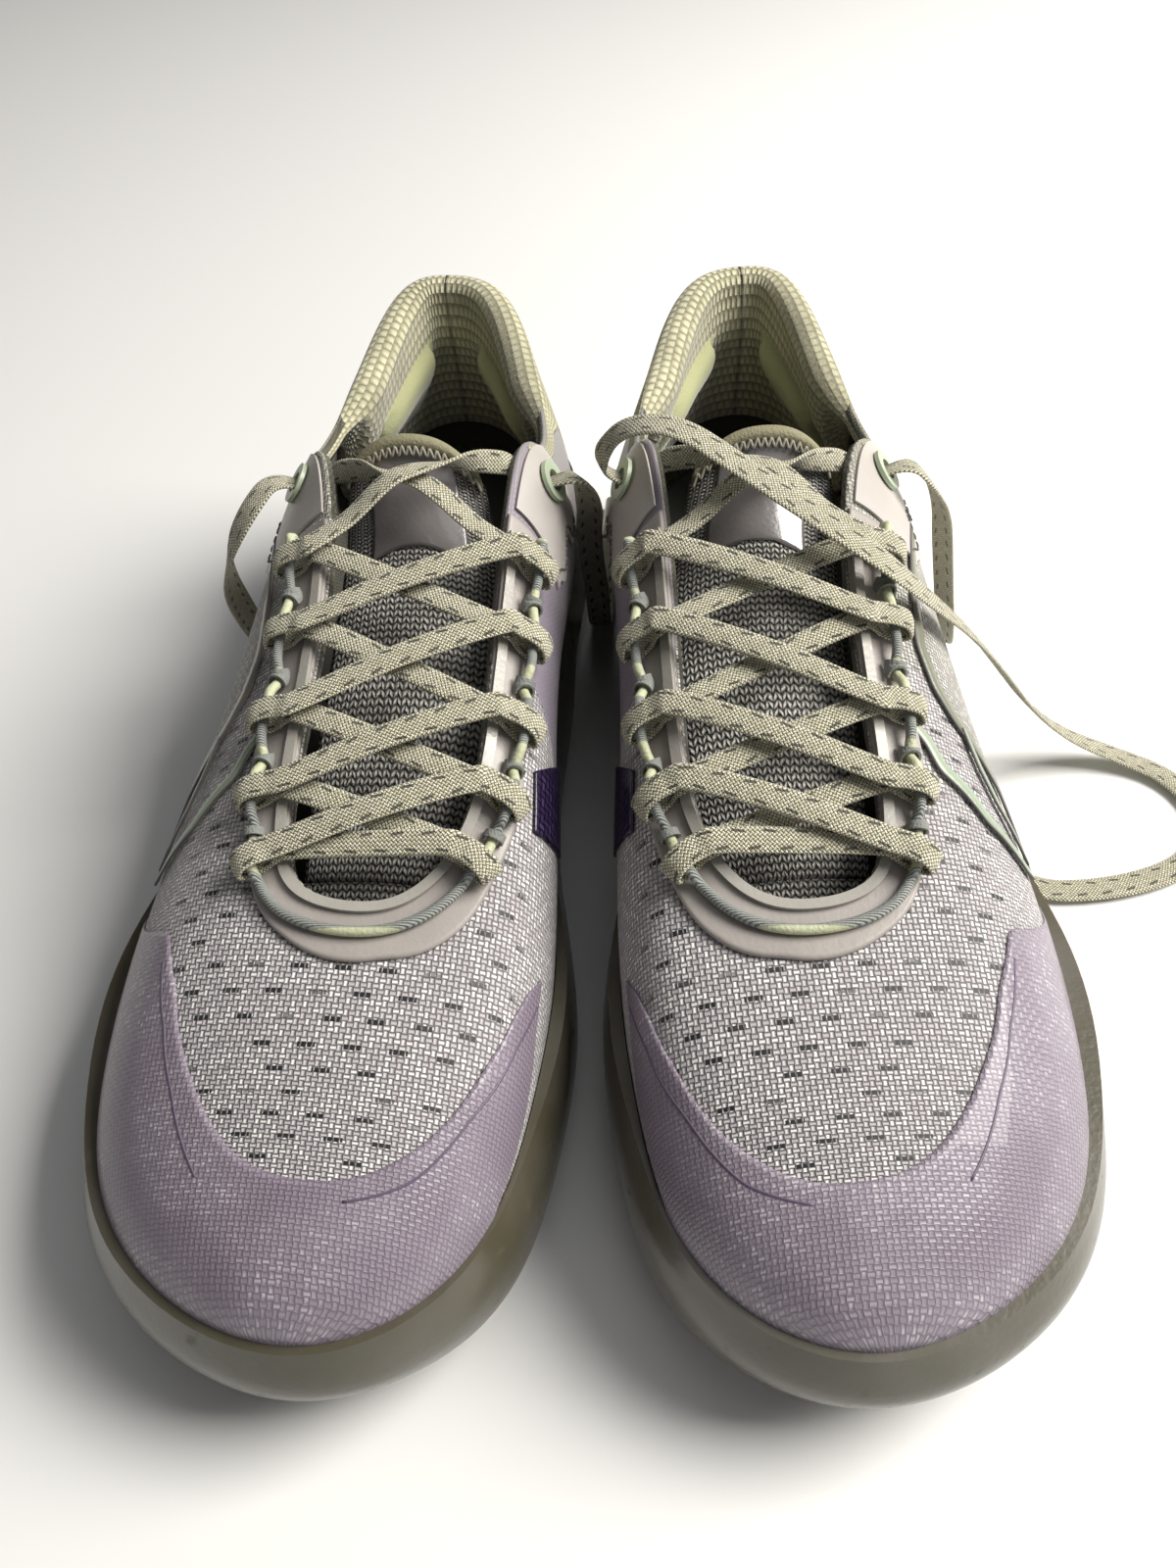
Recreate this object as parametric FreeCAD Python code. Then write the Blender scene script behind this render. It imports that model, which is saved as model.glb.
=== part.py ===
import FreeCAD, Part
import math
import os

# A pair of low-cut basketball shoes, built from one left shoe and its mirror image.
# Millimetres. Toes point to -Y, heels to +Y, soles stand on z = 0, the wearer's left
# shoe is at +X. Inside a shoe's own frame +X is the outer (lateral) side.

V = FreeCAD.Vector
SAME_DIRECTION = 1
BELOW = -9.0

# ---- overall sizes -------------------------------------------------------------
SOLE_LENGTH = 298.0
BALL_WIDTH = 110.0
HEEL_TOP_HEIGHT = 95.0
TOE_OUT_ANGLE = 4.4
SHOE_OFFSET = 48.0

# ---- pattern of the base size, graded to the sizes above -----------------------
PATTERN_LENGTH = 298.0
PATTERN_WIDTH = 110.0
PATTERN_HEIGHT = 95.0
LENGTH_GRADE = SOLE_LENGTH / PATTERN_LENGTH
WIDTH_GRADE = BALL_WIDTH / PATTERN_WIDTH
HEIGHT_GRADE = HEEL_TOP_HEIGHT / PATTERN_HEIGHT

# Stations run round the shoe, seen from above, from the heel along the lateral side to
# the toe and back along the medial side: sole outline (x, y), top edge of the upper
# (x, y, z), then how the wall between them swells: rise and bulge above the feather
# line, reach and drop below the top edge.
STATIONS = [
    (6, 149, 5, 138, 95, 30, 6, -2, 22),
    (30, 138, 19, 131, 94, 30, 6, -1, 22),
    (44, 110, 26, 107, 87, 28, 7, 3, 20),
    (44, 74, 29.5, 80, 82, 26, 7.5, 7, 17.5),
    (44, 44, 28, 58, 88, 26, 9, 12, 19),
    (45, 16, 19, 40, 98, 26, 11, 18, 17),
    (49, -20, 12, 8, 89, 26, 11.5, 23, 9),
    (56, -60, 10, -30, 78, 22, 8.5, 23, 5),
    (53, -98, 9, -53, 70, 20, 8, 23, 3),
    (36, -132, 4, -64, 66, 19, 8, 30, 5),
    (-4, -149, -8, -67, 65, 20, 7, 42, 6),
    (-38, -132, -19, -63, 66, 19, 7, 30, 5),
    (-49, -98, -27, -50, 71, 20, 5.5, 18, 5),
    (-49.5, -60, -29, -28, 79, 23, 5, 18, 8.5),
    (-41, -20, -28, 10, 90, 27, 7.5, 19, 15),
    (-38, 16, -29, 41, 101, 27, 8, 18, 20),
    (-37.5, 44, -31, 58, 92, 27, 8, 15, 21),
    (-36, 74, -29, 80, 85, 27, 8, 12, 18),
    (-35, 110, -22, 108, 88, 28, 6, 5, 19),
    (-20, 139, -11, 131, 94, 30, 6, -1, 22),
]
ROUND = len(STATIONS)
TOE = ROUND / 2

# ---- sole ----------------------------------------------------------------------
OUTSOLE_THICKNESS = 4.5
TREAD_DEPTH = 2.0
TREAD_PITCH = 13.0
TREAD_GROOVE = 3.0
TREAD_MARGIN = 9.0
HEEL_STACK = 25.0
FOREFOOT_STACK = 17.0
TOE_SPRING = 13.0
TOE_SPRING_START = -52.0
HEEL_BEVEL = 4.0
HEEL_BEVEL_START = 112.0
RIM_HEEL = 45.0
RIM_WAIST = 38.0
RIM_FOREFOOT = 34.0
RIM_TOE = 34.5
CAVITY_TOP = 52.0
SIDEWALL_THICKNESS = 2.6
CORE_LIP = 3.0
RIM_TUCK_TOE = 6.0
RIM_TUCK_WAIST = 2.0
RIM_TUCK_HEEL = 3.5
EDGE_ROUNDING = 5.0
SHANK_THICKNESS = 1.4
SHANK_WIDTH = 34.0
SHANK_LENGTH = 96.0
SHANK_CENTRE_X = 4.0
SHANK_CENTRE_Y = 22.0

# ---- upper ---------------------------------------------------------------------
FEATHER_INSET = 7.0
UPPER_THICKNESS = 2.2
HEEL_QUARTER_THICKNESS = 1.4
COUNTER_THICKNESS = 1.5
STROBEL_THICKNESS = 1.2
INSOLE_THICKNESS = 4.5
INSOLE_SIDE_CLEARANCE = 0.6
INSOLE_HEEL_CLEARANCE = 4.8
COLLAR_PAD_THIN = 1.5
COLLAR_PAD_THICK = 6.5
ANKLE_PAD_THICKNESS = 2.6
OVERLAY_THICKNESS = 0.6
EYESTAY_THICKNESS = 1.1
EYESTAY_TOE_WIDTH = 13.0
EYESTAY_SIDE_WIDTH = 10.0
RAIL_FROM_EDGE = 0.3
RAIL_WIDTH = 2.2
RAIL_HEIGHT = 1.0

# Where pieces of the upper lie: stations round the shoe (0 at the heel, ROUND / 2 at the
# toe) and levels (0 at the feather line, 1 at the top edge).
LATERAL_START = 2.6
VAMP_START = 6.5
VAMP_END = 13.5
MEDIAL_END = 17.4
COUNTER_REACH = 2.0
COUNTER_LEVELS = (0.12, 0.55)
COLLAR_PAD_FOOT = 0.13
COLLAR_SWELL_LEVEL = 0.82
COLLAR_SWELL_SPREAD = 0.24
ANKLE_PAD_STATION = 1.45
ANKLE_PAD_REACH = 0.62
ANKLE_PAD_LEVELS = (0.42, 0.74)
ANKLE_PAD_EDGE = 0.5
TOE_CAP_START = 6.35
TOE_CAP_LOW_END = 11.4
TOE_CAP_TOP_END = 12.5
TOE_CAP_ABOVE_RIM = 0.8
TOE_CAP_SIDE_LEVEL = 0.36
TOE_CAP_TOP_LEVEL = 0.5
TOE_CAP_WING_RISE = 0.05
EYESTAY_START = 5.62
CABLE_START = 5.72
RAIL_START = 5.75
BAND_COUNT = 3
BAND_START = 7.3
BAND_PITCH = 0.42
BAND_SWEEP = 0.95
BAND_HALF_WIDTH = 0.13
BAND_LOW_LEVEL = 0.46
BAND_TOP_LEVEL = 0.76
BADGE_STATIONS = (12.75, 13.4)
BADGE_LEVELS = (0.34, 0.62)

# ---- lacing --------------------------------------------------------------------
CABLE_RADIUS = 1.1
CABLE_FROM_EDGE = 7.0
CABLE_LIFT = 2.4
CABLE_LIFT_REACH = 0.23
TACK_THICKNESS = 0.5
TACK_CLEARANCE = 0.7
TACK_REACH = 0.045
TACK_WRAP = 120.0
LACE_WIDTH = 6.5
LACE_THICKNESS = 1.1
TAIL_DIAMETER = 4.0
LACE_LEVELS = [8.3, 7.55, 6.95, 6.4, 5.9]
EYELET_STATION = 4.9
EYELET_LEVEL = 0.86
EYELET_HOLE = 6.0
EYELET_DRILL_REACH = 12.0
EYELET_PATCH_STATIONS = (4.25, 5.54)
EYELET_PATCH_LEVELS = (0.66, 0.975)
EYELET_PATCH_SCALLOP = 0.03
RING_DIAMETER = 10.4
RING_THICKNESS = 1.0
AGLET_DIAMETER = 4.6
AGLET_LENGTH = 22.0

# ---- tongue --------------------------------------------------------------------
TONGUE_THICKNESS = 5.0
TONGUE_EDGE = 2.4
TONGUE_LINE = [(-57, 60.5), (-30, 70), (0, 79), (24, 89), (38, 101), (46, 117)]
TONGUE_HALF_WIDTHS = [17, 20, 21, 20, 18.5, 16.5]
TONGUE_SAGS = [2, 3, 5, 7, 8, 5]
TONGUE_CENTRES = [-9, -9.5, -8.5, -6.5, -4, -3]
TONGUE_END = 0.985
TONGUE_SHOULDER = 0.10
TONGUE_PATCH_LENGTHS = (0.58, 0.9)
TONGUE_PATCH_WIDTH = 1.15
TONGUE_PATCH_ARCH = 0.03
BINDING_THICKNESS = 1.2
BINDING_LENGTH = 0.045
BINDING_WIDTH = 0.85

# ---- clearances ----------------------------------------------------------------
GLUE_GAP = 0.2
UPPER_GAP = 0.3
OVERLAY_GAP = 0.25
LACE_CLEARANCE = 0.4
SEAM = 0.012


# ==== small helpers =============================================================
def lerp(a, b, k):
    return a + (b - a) * k


def smooth(low, high, value):
    k = min(1.0, max(0.0, (value - low) / (high - low)))
    return k * k * (3 - 2 * k)


def through(values, k):
    """Value at k in 0..1 of a smooth curve through evenly spaced values."""
    last = len(values) - 1
    place = min(last - 1e-9, max(0.0, k * last))
    i = int(place)
    u = place - i
    before = values[max(i - 1, 0)] if i else 2 * values[0] - values[1]
    after = values[i + 2] if i + 2 <= last else 2 * values[last] - values[last - 1]
    m0 = (values[i + 1] - before) / 2
    m1 = (after - values[i]) / 2
    h00 = 2 * u**3 - 3 * u**2 + 1
    h10 = u**3 - 2 * u**2 + u
    h01 = 3 * u**2 - 2 * u**3
    h11 = u**3 - u**2
    return h00 * values[i] + h10 * m0 + h01 * values[i + 1] + h11 * m1


def unit(v):
    return v / v.Length


# ==== the shoe's master surface ==================================================
def graded(row):
    x, y, top_x, top_y, top_z, rise, bulge, reach, drop = row
    return [x * WIDTH_GRADE, y * LENGTH_GRADE,
            top_x * WIDTH_GRADE, top_y * LENGTH_GRADE, top_z * HEIGHT_GRADE,
            rise * HEIGHT_GRADE, bulge, reach * WIDTH_GRADE, drop * HEIGHT_GRADE]


def loop_controls(rows):
    """Control points of the closed cubic spline that passes through the rows."""
    controls = [list(row) for row in rows]
    count = len(rows)
    for _ in range(40):
        for i in range(count):
            before = controls[i - 1]
            after = controls[(i + 1) % count]
            controls[i] = [(6 * p - b - a) / 4 for p, b, a in zip(rows[i], before, after)]
    return controls


CONTROLS = loop_controls([graded(row) for row in STATIONS])


def station(t):
    i = math.floor(t)
    u = t - i
    weights = ((1 - u)**3 / 6, (3 * u**3 - 6 * u**2 + 4) / 6,
               (-3 * u**3 + 3 * u**2 + 3 * u + 1) / 6, u**3 / 6)
    near = [CONTROLS[(i - 1 + k) % ROUND] for k in range(4)]
    return [sum(w * row[j] for w, row in zip(weights, near)) for j in range(9)]


def outline(t, inset):
    """Point of the sole outline and its outward direction, seen from above."""
    here = station(t)
    ahead = station(t + 0.001)
    behind = station(t - 0.001)
    along = unit(V(ahead[0] - behind[0], ahead[1] - behind[1], 0))
    out = V(-along.y, along.x, 0)
    return V(here[0], here[1], 0) - out * inset, out


def bottom_height(y):
    """Underside of the sole: flat, with toe spring in front and a bevel at the heel."""
    half = SOLE_LENGTH / 2
    start = TOE_SPRING_START * LENGTH_GRADE
    if y < start:
        span = half + start
        radius = (span**2 + TOE_SPRING**2) / (2 * TOE_SPRING)
        return radius - math.sqrt(radius**2 - min(start - y, radius)**2)
    start = HEEL_BEVEL_START * LENGTH_GRADE
    if y > start:
        span = half - start
        radius = (span**2 + HEEL_BEVEL**2) / (2 * HEEL_BEVEL)
        return radius - math.sqrt(radius**2 - min(y - start, radius)**2)
    return 0.0


def footbed_height(y):
    stack = lerp(FOREFOOT_STACK, HEEL_STACK, smooth(-60 * LENGTH_GRADE, 60 * LENGTH_GRADE, y))
    return bottom_height(y) + stack


def rim_height(y):
    """Top edge of the sole wall."""
    k = y / LENGTH_GRADE
    height = lerp(RIM_FOREFOOT, RIM_WAIST, smooth(-50, 20, k))
    height = lerp(height, RIM_HEEL, smooth(40, 120, k))
    return lerp(height, RIM_TOE, smooth(-80, -140, k))


def on_last(t, h):
    """Outer face of the upper: h = 0 at the feather line, 1 at the top edge."""
    row = station(t)
    foot, out = outline(t, FEATHER_INSET)
    p0 = V(foot.x, foot.y, footbed_height(foot.y))
    p3 = V(row[2], row[3], row[4])
    p1 = p0 + out * row[6] + V(0, 0, row[5])
    p2 = p3 + out * row[7] - V(0, 0, row[8])
    g = 1 - h
    return p0 * g**3 + p1 * (3 * g**2 * h) + p2 * (3 * g * h**2) + p3 * h**3


def out_of_last(t, h):
    step = 0.004
    low = max(0.0, h - step)
    high = min(1.0, h + step)
    up = on_last(t, high) - on_last(t, low)
    along = on_last(t + step, h) - on_last(t - step, h)
    return unit(up.cross(along))


def shell(t, h, d):
    """Point at distance d outside the upper's outer face, or inside where d < 0."""
    return on_last(t, h) + out_of_last(t, h) * d


def level_at_height(t, z, d=0.0):
    low, high = 0.0, 0.95
    for _ in range(16):
        middle = (low + high) / 2
        if shell(t, middle, d).z < z:
            low = middle
        else:
            high = middle
    return (low + high) / 2


def level_from_edge(t, distance):
    """h of the point that lies this far below the upper's top edge."""
    edge = on_last(t, 1.0)
    low, high = 0.3, 1.0
    for _ in range(16):
        middle = (low + high) / 2
        if (on_last(t, middle) - edge).Length > distance:
            low = middle
        else:
            high = middle
    return (low + high) / 2


# ==== building solids ============================================================
def grid_surface(point, across, along):
    rows = [[point(i / (across - 1), j / (along - 1)) for j in range(along)]
            for i in range(across)]
    surface = Part.BSplineSurface()
    surface.interpolate(rows)
    return surface


def patch_solid(point, across, along):
    """Solid between the sheets point(a, b, 0) and point(a, b, 1)."""
    outer = grid_surface(lambda a, b: point(a, b, 1.0), across, along)
    inner = grid_surface(lambda a, b: point(a, b, 0.0), across, along)
    faces = [outer.toShape(), inner.toShape()]

    def borders(surface):
        u0, u1, v0, v1 = surface.bounds()
        return [surface.uIso(u0), surface.uIso(u1), surface.vIso(v0), surface.vIso(v1)]

    for edge, other in zip(borders(outer), borders(inner)):
        faces.append(Part.makeRuledSurface(edge.toShape(), other.toShape(), SAME_DIRECTION))
    return sewn(faces)


def sewn(faces):
    skin = Part.makeShell(faces)
    skin.sewShape()
    if skin.ShapeType != "Shell":
        skin = skin.Shells[0]
    solid = Part.Solid(skin)
    if solid.Volume < 0:
        solid.reverse()
    return solid


def panel(t_range, h_range, d_range, across=20, along=9):
    """Patch of the upper between stations, levels and depths."""
    def point(a, b, s):
        return shell(lerp(*t_range, a), lerp(*h_range, b), lerp(*d_range, s))
    return patch_solid(point, across, along)


def closed_wire(points):
    """Smooth closed curve, with evenly spaced knots so that lofts through it stay light."""
    curve = Part.BSplineCurve()
    knots = [float(i) for i in range(len(points) + 1)]
    curve.interpolate(points, PeriodicFlag=True, Parameters=knots)
    return Part.Wire([curve.toShape()])


def slab(lower, upper):
    """Block that lies between two height curves along the shoe, endless sideways."""
    reach = SOLE_LENGTH * 0.56
    wide = BALL_WIDTH
    places = [lerp(-reach, reach, i / 36) for i in range(37)]

    def edge(height):
        curve = Part.BSplineCurve()
        curve.interpolate([V(-wide, y, height(y)) for y in places])
        return curve.toShape()

    ends = [Part.LineSegment(V(-wide, y, lower(y)), V(-wide, y, upper(y))).toShape()
            for y in (-reach, reach)]
    face = Part.Face(Part.Wire([edge(lower), ends[1], edge(upper), ends[0]]))
    return face.extrude(V(2 * wide, 0, 0))


def wall_inset(z, y):
    """How far the sole's side lies inside its widest outline at one height."""
    base = bottom_height(y)
    k = (z - base) / (rim_height(y) - base)
    along = y / LENGTH_GRADE
    tuck = lerp(RIM_TUCK_WAIST, RIM_TUCK_TOE, smooth(-60, -125, along))
    tuck = lerp(tuck, RIM_TUCK_HEEL, smooth(70, 120, along))
    return EDGE_ROUNDING * (1 - smooth(-0.1, 0.35, k)) + tuck * smooth(0.55, 1.25, k)


def sole_block(extra):
    levels = [-3, 3, 9, 15, 21, 27, 33, 39, 45, 51]
    wires = []
    for z in levels:
        points = []
        for i in range(2 * ROUND):
            flat, _ = outline(i / 2, 0)
            place, _ = outline(i / 2, wall_inset(z, flat.y) + extra)
            points.append(V(place.x, place.y, z))
        wires.append(closed_wire(points))
    return Part.makeLoft(wires, True, False)


def last_block(depth, lower, upper):
    """The space inside the upper, grown or shrunk by depth(t), between two heights."""
    wires = []
    for z in [6, 12, 18, 24, 30, 36, 42, 48, 54]:
        points = []
        for i in range(2 * ROUND):
            t = i / 2
            d = depth(t)
            foot = shell(t, 0.0, d)
            if z > foot.z:
                foot = shell(t, level_at_height(t, z, d), d)
            points.append(V(foot.x, foot.y, z))
        wires.append(closed_wire(points))
    return Part.makeLoft(wires, True, False).common(slab(lower, upper))


def above(height, rise):
    return lambda y: height(y) + rise


# ==== sole =======================================================================
def chevron(y):
    """Upright V-shaped blade that cuts one groove across the tread."""
    reach = BALL_WIDTH / 2
    rib = TREAD_GROOVE / 2
    swept = y - reach / 2
    front = [V(-reach, swept - rib, BELOW), V(0, y - rib, BELOW), V(reach, swept - rib, BELOW)]
    back = [p + V(0, 2 * rib, 0) for p in reversed(front)]
    corners = front + back + front[:1]
    return Part.Face(Part.makePolygon(corners)).extrude(V(0, 0, HEEL_STACK - BELOW))


def ground():
    """All that lies under the sole: a true plane between the toe spring and the heel bevel."""
    reach = SOLE_LENGTH * 0.56
    toe = TOE_SPRING_START * LENGTH_GRADE
    heel = HEEL_BEVEL_START * LENGTH_GRADE

    def at(y):
        return V(-BALL_WIDTH, y, bottom_height(y))
    corners = [V(-BALL_WIDTH, reach, BELOW), V(-BALL_WIDTH, -reach, BELOW)]
    edges = [Part.Arc(at(-reach), at((toe - reach) / 2), at(toe)).toShape(),
             Part.LineSegment(at(toe), at(heel)).toShape(),
             Part.Arc(at(heel), at((heel + reach) / 2), at(reach)).toShape(),
             Part.LineSegment(at(reach), corners[0]).toShape(),
             Part.LineSegment(corners[0], corners[1]).toShape(),
             Part.LineSegment(corners[1], at(-reach)).toShape()]
    return Part.Face(Part.Wire(edges)).extrude(V(2 * BALL_WIDTH, 0, 0))


def outsole():
    block = sole_block(0.0).common(slab(lambda y: BELOW, above(bottom_height, OUTSOLE_THICKNESS)))
    block = block.cut(ground())
    rows = int(SOLE_LENGTH / TREAD_PITCH)
    blades = [chevron((i - (rows - 1) / 2) * TREAD_PITCH) for i in range(rows)]
    tread = slab(lambda y: BELOW, above(bottom_height, TREAD_DEPTH))
    grooves = sole_block(TREAD_MARGIN).common(tread)
    return block.cut(grooves.common(Part.makeCompound(blades)))


def core_top(y):
    return footbed_height(y) + CORE_LIP


def shank_box(extra):
    """The stiffening plate in the sole's waist, or with some extra the pocket for it."""
    width = SHANK_WIDTH + 2 * extra
    length = SHANK_LENGTH + 2 * extra
    corner = V(SHANK_CENTRE_X - width / 2, SHANK_CENTRE_Y * LENGTH_GRADE - length / 2, BELOW)
    low = OUTSOLE_THICKNESS + GLUE_GAP - extra
    high = OUTSOLE_THICKNESS + GLUE_GAP + SHANK_THICKNESS + extra
    layer = slab(above(bottom_height, low), above(bottom_height, high))
    return Part.makeBox(width, length, HEEL_STACK - BELOW, corner).common(layer)


def midsole(cavity):
    inset = SIDEWALL_THICKNESS + GLUE_GAP
    low = above(bottom_height, OUTSOLE_THICKNESS + GLUE_GAP)
    core = sole_block(inset).common(slab(low, above(core_top, -GLUE_GAP)))
    return core.cut(cavity).cut(shank_box(GLUE_GAP))


def sidewall(cavity):
    low = above(bottom_height, OUTSOLE_THICKNESS + GLUE_GAP)
    wall = sole_block(0.0).common(slab(low, rim_height))
    core = sole_block(SIDEWALL_THICKNESS).common(slab(lambda y: BELOW, core_top))
    return wall.cut(core).cut(cavity)


def strobel_board():
    def depth(t):
        return -UPPER_THICKNESS - 1.5 * UPPER_GAP
    return last_block(depth, above(footbed_height, 0.0), above(footbed_height, STROBEL_THICKNESS))


def insole():
    def depth(t):
        from_heel = min(t % ROUND, ROUND - t % ROUND)
        spare = lerp(INSOLE_HEEL_CLEARANCE, INSOLE_SIDE_CLEARANCE, smooth(2.5, 4.5, from_heel))
        return -UPPER_THICKNESS - spare
    low = STROBEL_THICKNESS + GLUE_GAP
    return last_block(depth, above(footbed_height, low), above(footbed_height, low + INSOLE_THICKNESS))


# ==== upper ======================================================================
def eyelet_axis(side):
    """Centre on the upper and outward direction of the lateral (1) or medial (-1) eyelet."""
    t = EYELET_STATION if side > 0 else ROUND - EYELET_STATION
    return on_last(t, EYELET_LEVEL), out_of_last(t, EYELET_LEVEL)


def eyelet_hole(side):
    centre, out = eyelet_axis(side)
    start = centre - out * EYELET_DRILL_REACH
    return Part.makeCylinder(EYELET_HOLE / 2, 2 * EYELET_DRILL_REACH, start, out)


def vamp():
    return panel((VAMP_START + SEAM, VAMP_END - SEAM), (0, 1), (-UPPER_THICKNESS, 0), 30, 10)


def lateral_quarter():
    body = panel((LATERAL_START + SEAM, VAMP_START - SEAM), (0, 1), (-UPPER_THICKNESS, 0))
    return body.cut(eyelet_hole(1))


def medial_quarter():
    body = panel((VAMP_END + SEAM, MEDIAL_END - SEAM), (0, 1), (-UPPER_THICKNESS, 0))
    return body.cut(eyelet_hole(-1))


def heel_quarter():
    stations = (MEDIAL_END + SEAM, ROUND + LATERAL_START - SEAM)
    return panel(stations, (0, 1), (-HEEL_QUARTER_THICKNESS, 0), 24, 9)


def heel_counter():
    front = HEEL_QUARTER_THICKNESS + GLUE_GAP
    stations = (ROUND - COUNTER_REACH, ROUND + COUNTER_REACH)
    return panel(stations, COUNTER_LEVELS, (-front - COUNTER_THICKNESS, -front), 14, 6)


def collar_pad_depth(h):
    swell = math.exp(-((h - COLLAR_SWELL_LEVEL) / COLLAR_SWELL_SPREAD)**2)
    return lerp(COLLAR_PAD_THIN, COLLAR_PAD_THICK, swell)


def collar_back():
    return HEEL_QUARTER_THICKNESS + COUNTER_THICKNESS + 2.5 * GLUE_GAP


def collar_pad():
    def point(a, b, s):
        t = lerp(MEDIAL_END + 4 * SEAM, ROUND + LATERAL_START - 4 * SEAM, a)
        h = lerp(COLLAR_PAD_FOOT, 1.0, b)
        thick = collar_pad_depth(h)
        return shell(t, h, -collar_back() - thick * (1 - s))
    return patch_solid(point, 26, 12)


def ankle_pads():
    """Two soft cushions inside the collar, one behind each ankle bone."""
    pads = []
    for centre in (ANKLE_PAD_STATION, ROUND - ANKLE_PAD_STATION):
        def point(a, b, s, centre=centre):
            t = centre + ANKLE_PAD_REACH * (2 * a - 1)
            h = lerp(*ANKLE_PAD_LEVELS, b)
            swell = ANKLE_PAD_THICKNESS * math.sqrt(math.sin(math.pi * a) * math.sin(math.pi * b))
            back = -collar_back() - collar_pad_depth(h) - GLUE_GAP
            return shell(t, h, back - (ANKLE_PAD_EDGE + swell) * (1 - s))
        pads.append(patch_solid(point, 9, 9))
    return Part.makeCompound(pads)


def toe_cap():
    """Thin film over the toe, with a wing along each side of the forefoot."""
    def point(a, b, s):
        t = lerp(TOE_CAP_START, lerp(TOE_CAP_LOW_END, TOE_CAP_TOP_END, b), a)
        low = level_at_height(t, rim_height(on_last(t, 0.2).y) + TOE_CAP_ABOVE_RIM)
        top = lerp(TOE_CAP_SIDE_LEVEL, TOE_CAP_TOP_LEVEL, smooth(TOE_CAP_START, TOE_CAP_START + 1.9, t))
        top += TOE_CAP_WING_RISE * smooth(TOE_CAP_LOW_END, TOE_CAP_TOP_END, t)
        return shell(t, lerp(low, top, b), OVERLAY_GAP + OVERLAY_THICKNESS * s)
    return patch_solid(point, 26, 8)


def eyestay_width(t):
    return lerp(EYESTAY_TOE_WIDTH, EYESTAY_SIDE_WIDTH, smooth(0.6, 2.2, abs(t - TOE)))


def ring_strip(t_range, near, far, d_range, across=40, along=5):
    """Strip round the throat between two distances from the upper's top edge."""
    def point(a, b, s):
        t = lerp(*t_range, a)
        return shell(t, level_from_edge(t, lerp(near(t), far(t), b)), lerp(*d_range, s))
    return patch_solid(point, across, along)


def eyestay_top():
    return OVERLAY_GAP + EYESTAY_THICKNESS


def eyestay():
    stations = (EYESTAY_START, ROUND - EYESTAY_START)
    return ring_strip(stations, lambda t: 0.0, eyestay_width, (OVERLAY_GAP, eyestay_top()))


def throat_rails():
    stations = (RAIL_START, ROUND - RAIL_START)
    low = eyestay_top() + GLUE_GAP
    far = RAIL_FROM_EDGE + RAIL_WIDTH
    return ring_strip(stations, lambda t: RAIL_FROM_EDGE, lambda t: far, (low, low + RAIL_HEIGHT))


def lace_stations():
    return LACE_LEVELS + [ROUND - t for t in LACE_LEVELS]


def cable_depth(t):
    lift = max(math.exp(-((t - place) / CABLE_LIFT_REACH)**6) for place in lace_stations())
    return eyestay_top() + GLUE_GAP + CABLE_RADIUS + CABLE_LIFT * lift


def cable_point(t):
    return shell(t, level_from_edge(t, CABLE_FROM_EDGE), cable_depth(t))


def cable_frame(t):
    """Centre of the cable, its direction away from the upper, and its side direction."""
    along = unit(cable_point(t + 0.01) - cable_point(t - 0.01))
    up = out_of_last(t, level_from_edge(t, CABLE_FROM_EDGE))
    side = unit(along.cross(up))
    return cable_point(t), side, unit(side.cross(along))


def lace_cable():
    """Round cable, whose skin is an upper and a lower half joined by narrow flats."""
    count = 90
    frames = [cable_frame(lerp(CABLE_START, ROUND - CABLE_START, i / (count - 1))) for i in range(count)]

    def point(a, b, s):
        centre, side, up = frames[round(a * (count - 1))]
        angle = math.radians(lerp(7, 173, b)) * (1 if s > 0.5 else -1)
        return centre + (side * math.cos(angle) + up * math.sin(angle)) * CABLE_RADIUS
    return patch_solid(point, count, 7)


def cable_tacks():
    """Bar tacks that hold the cable down between the lace loops."""
    stops = sorted(lace_stations())
    tacks = []
    for t0, t1 in zip(stops, stops[1:]):
        centre = (t0 + t1) / 2
        if abs(centre - TOE) < 1:
            continue

        def point(a, b, s, centre=centre):
            middle, side, up = cable_frame(centre + TACK_REACH * (2 * a - 1))
            radius = CABLE_RADIUS + TACK_CLEARANCE + TACK_THICKNESS * s
            angle = math.radians(90 + TACK_WRAP * (2 * b - 1))
            return middle + side * (radius * math.cos(angle)) + up * (radius * math.sin(angle))
        tacks.append(patch_solid(point, 5, 12))
    return Part.makeCompound(tacks)


def eyelet_patches():
    patches = []
    for side in (1, -1):
        def point(a, b, s, side=side):
            from_heel = lerp(*EYELET_PATCH_STATIONS, a if side > 0 else 1 - a)
            t = from_heel if side > 0 else ROUND - from_heel
            low = EYELET_PATCH_LEVELS[0] + EYELET_PATCH_SCALLOP * math.cos(4 * math.pi * a)
            return shell(t, lerp(low, EYELET_PATCH_LEVELS[1], b), OVERLAY_GAP + OVERLAY_THICKNESS * s)
        patches.append(patch_solid(point, 16, 7).cut(eyelet_hole(side)))
    return Part.makeCompound(patches)


def eyelet_rings():
    rings = []
    for side in (1, -1):
        centre, out = eyelet_axis(side)
        foot = centre + out * (2 * OVERLAY_GAP + OVERLAY_THICKNESS)
        disc = Part.makeCylinder(RING_DIAMETER / 2, RING_THICKNESS, foot, out)
        start = foot - out * RING_THICKNESS
        bore = Part.makeCylinder(EYELET_HOLE / 2 - UPPER_GAP, 3 * RING_THICKNESS, start, out)
        rings.append(disc.cut(bore))
    return Part.makeCompound(rings)


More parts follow.
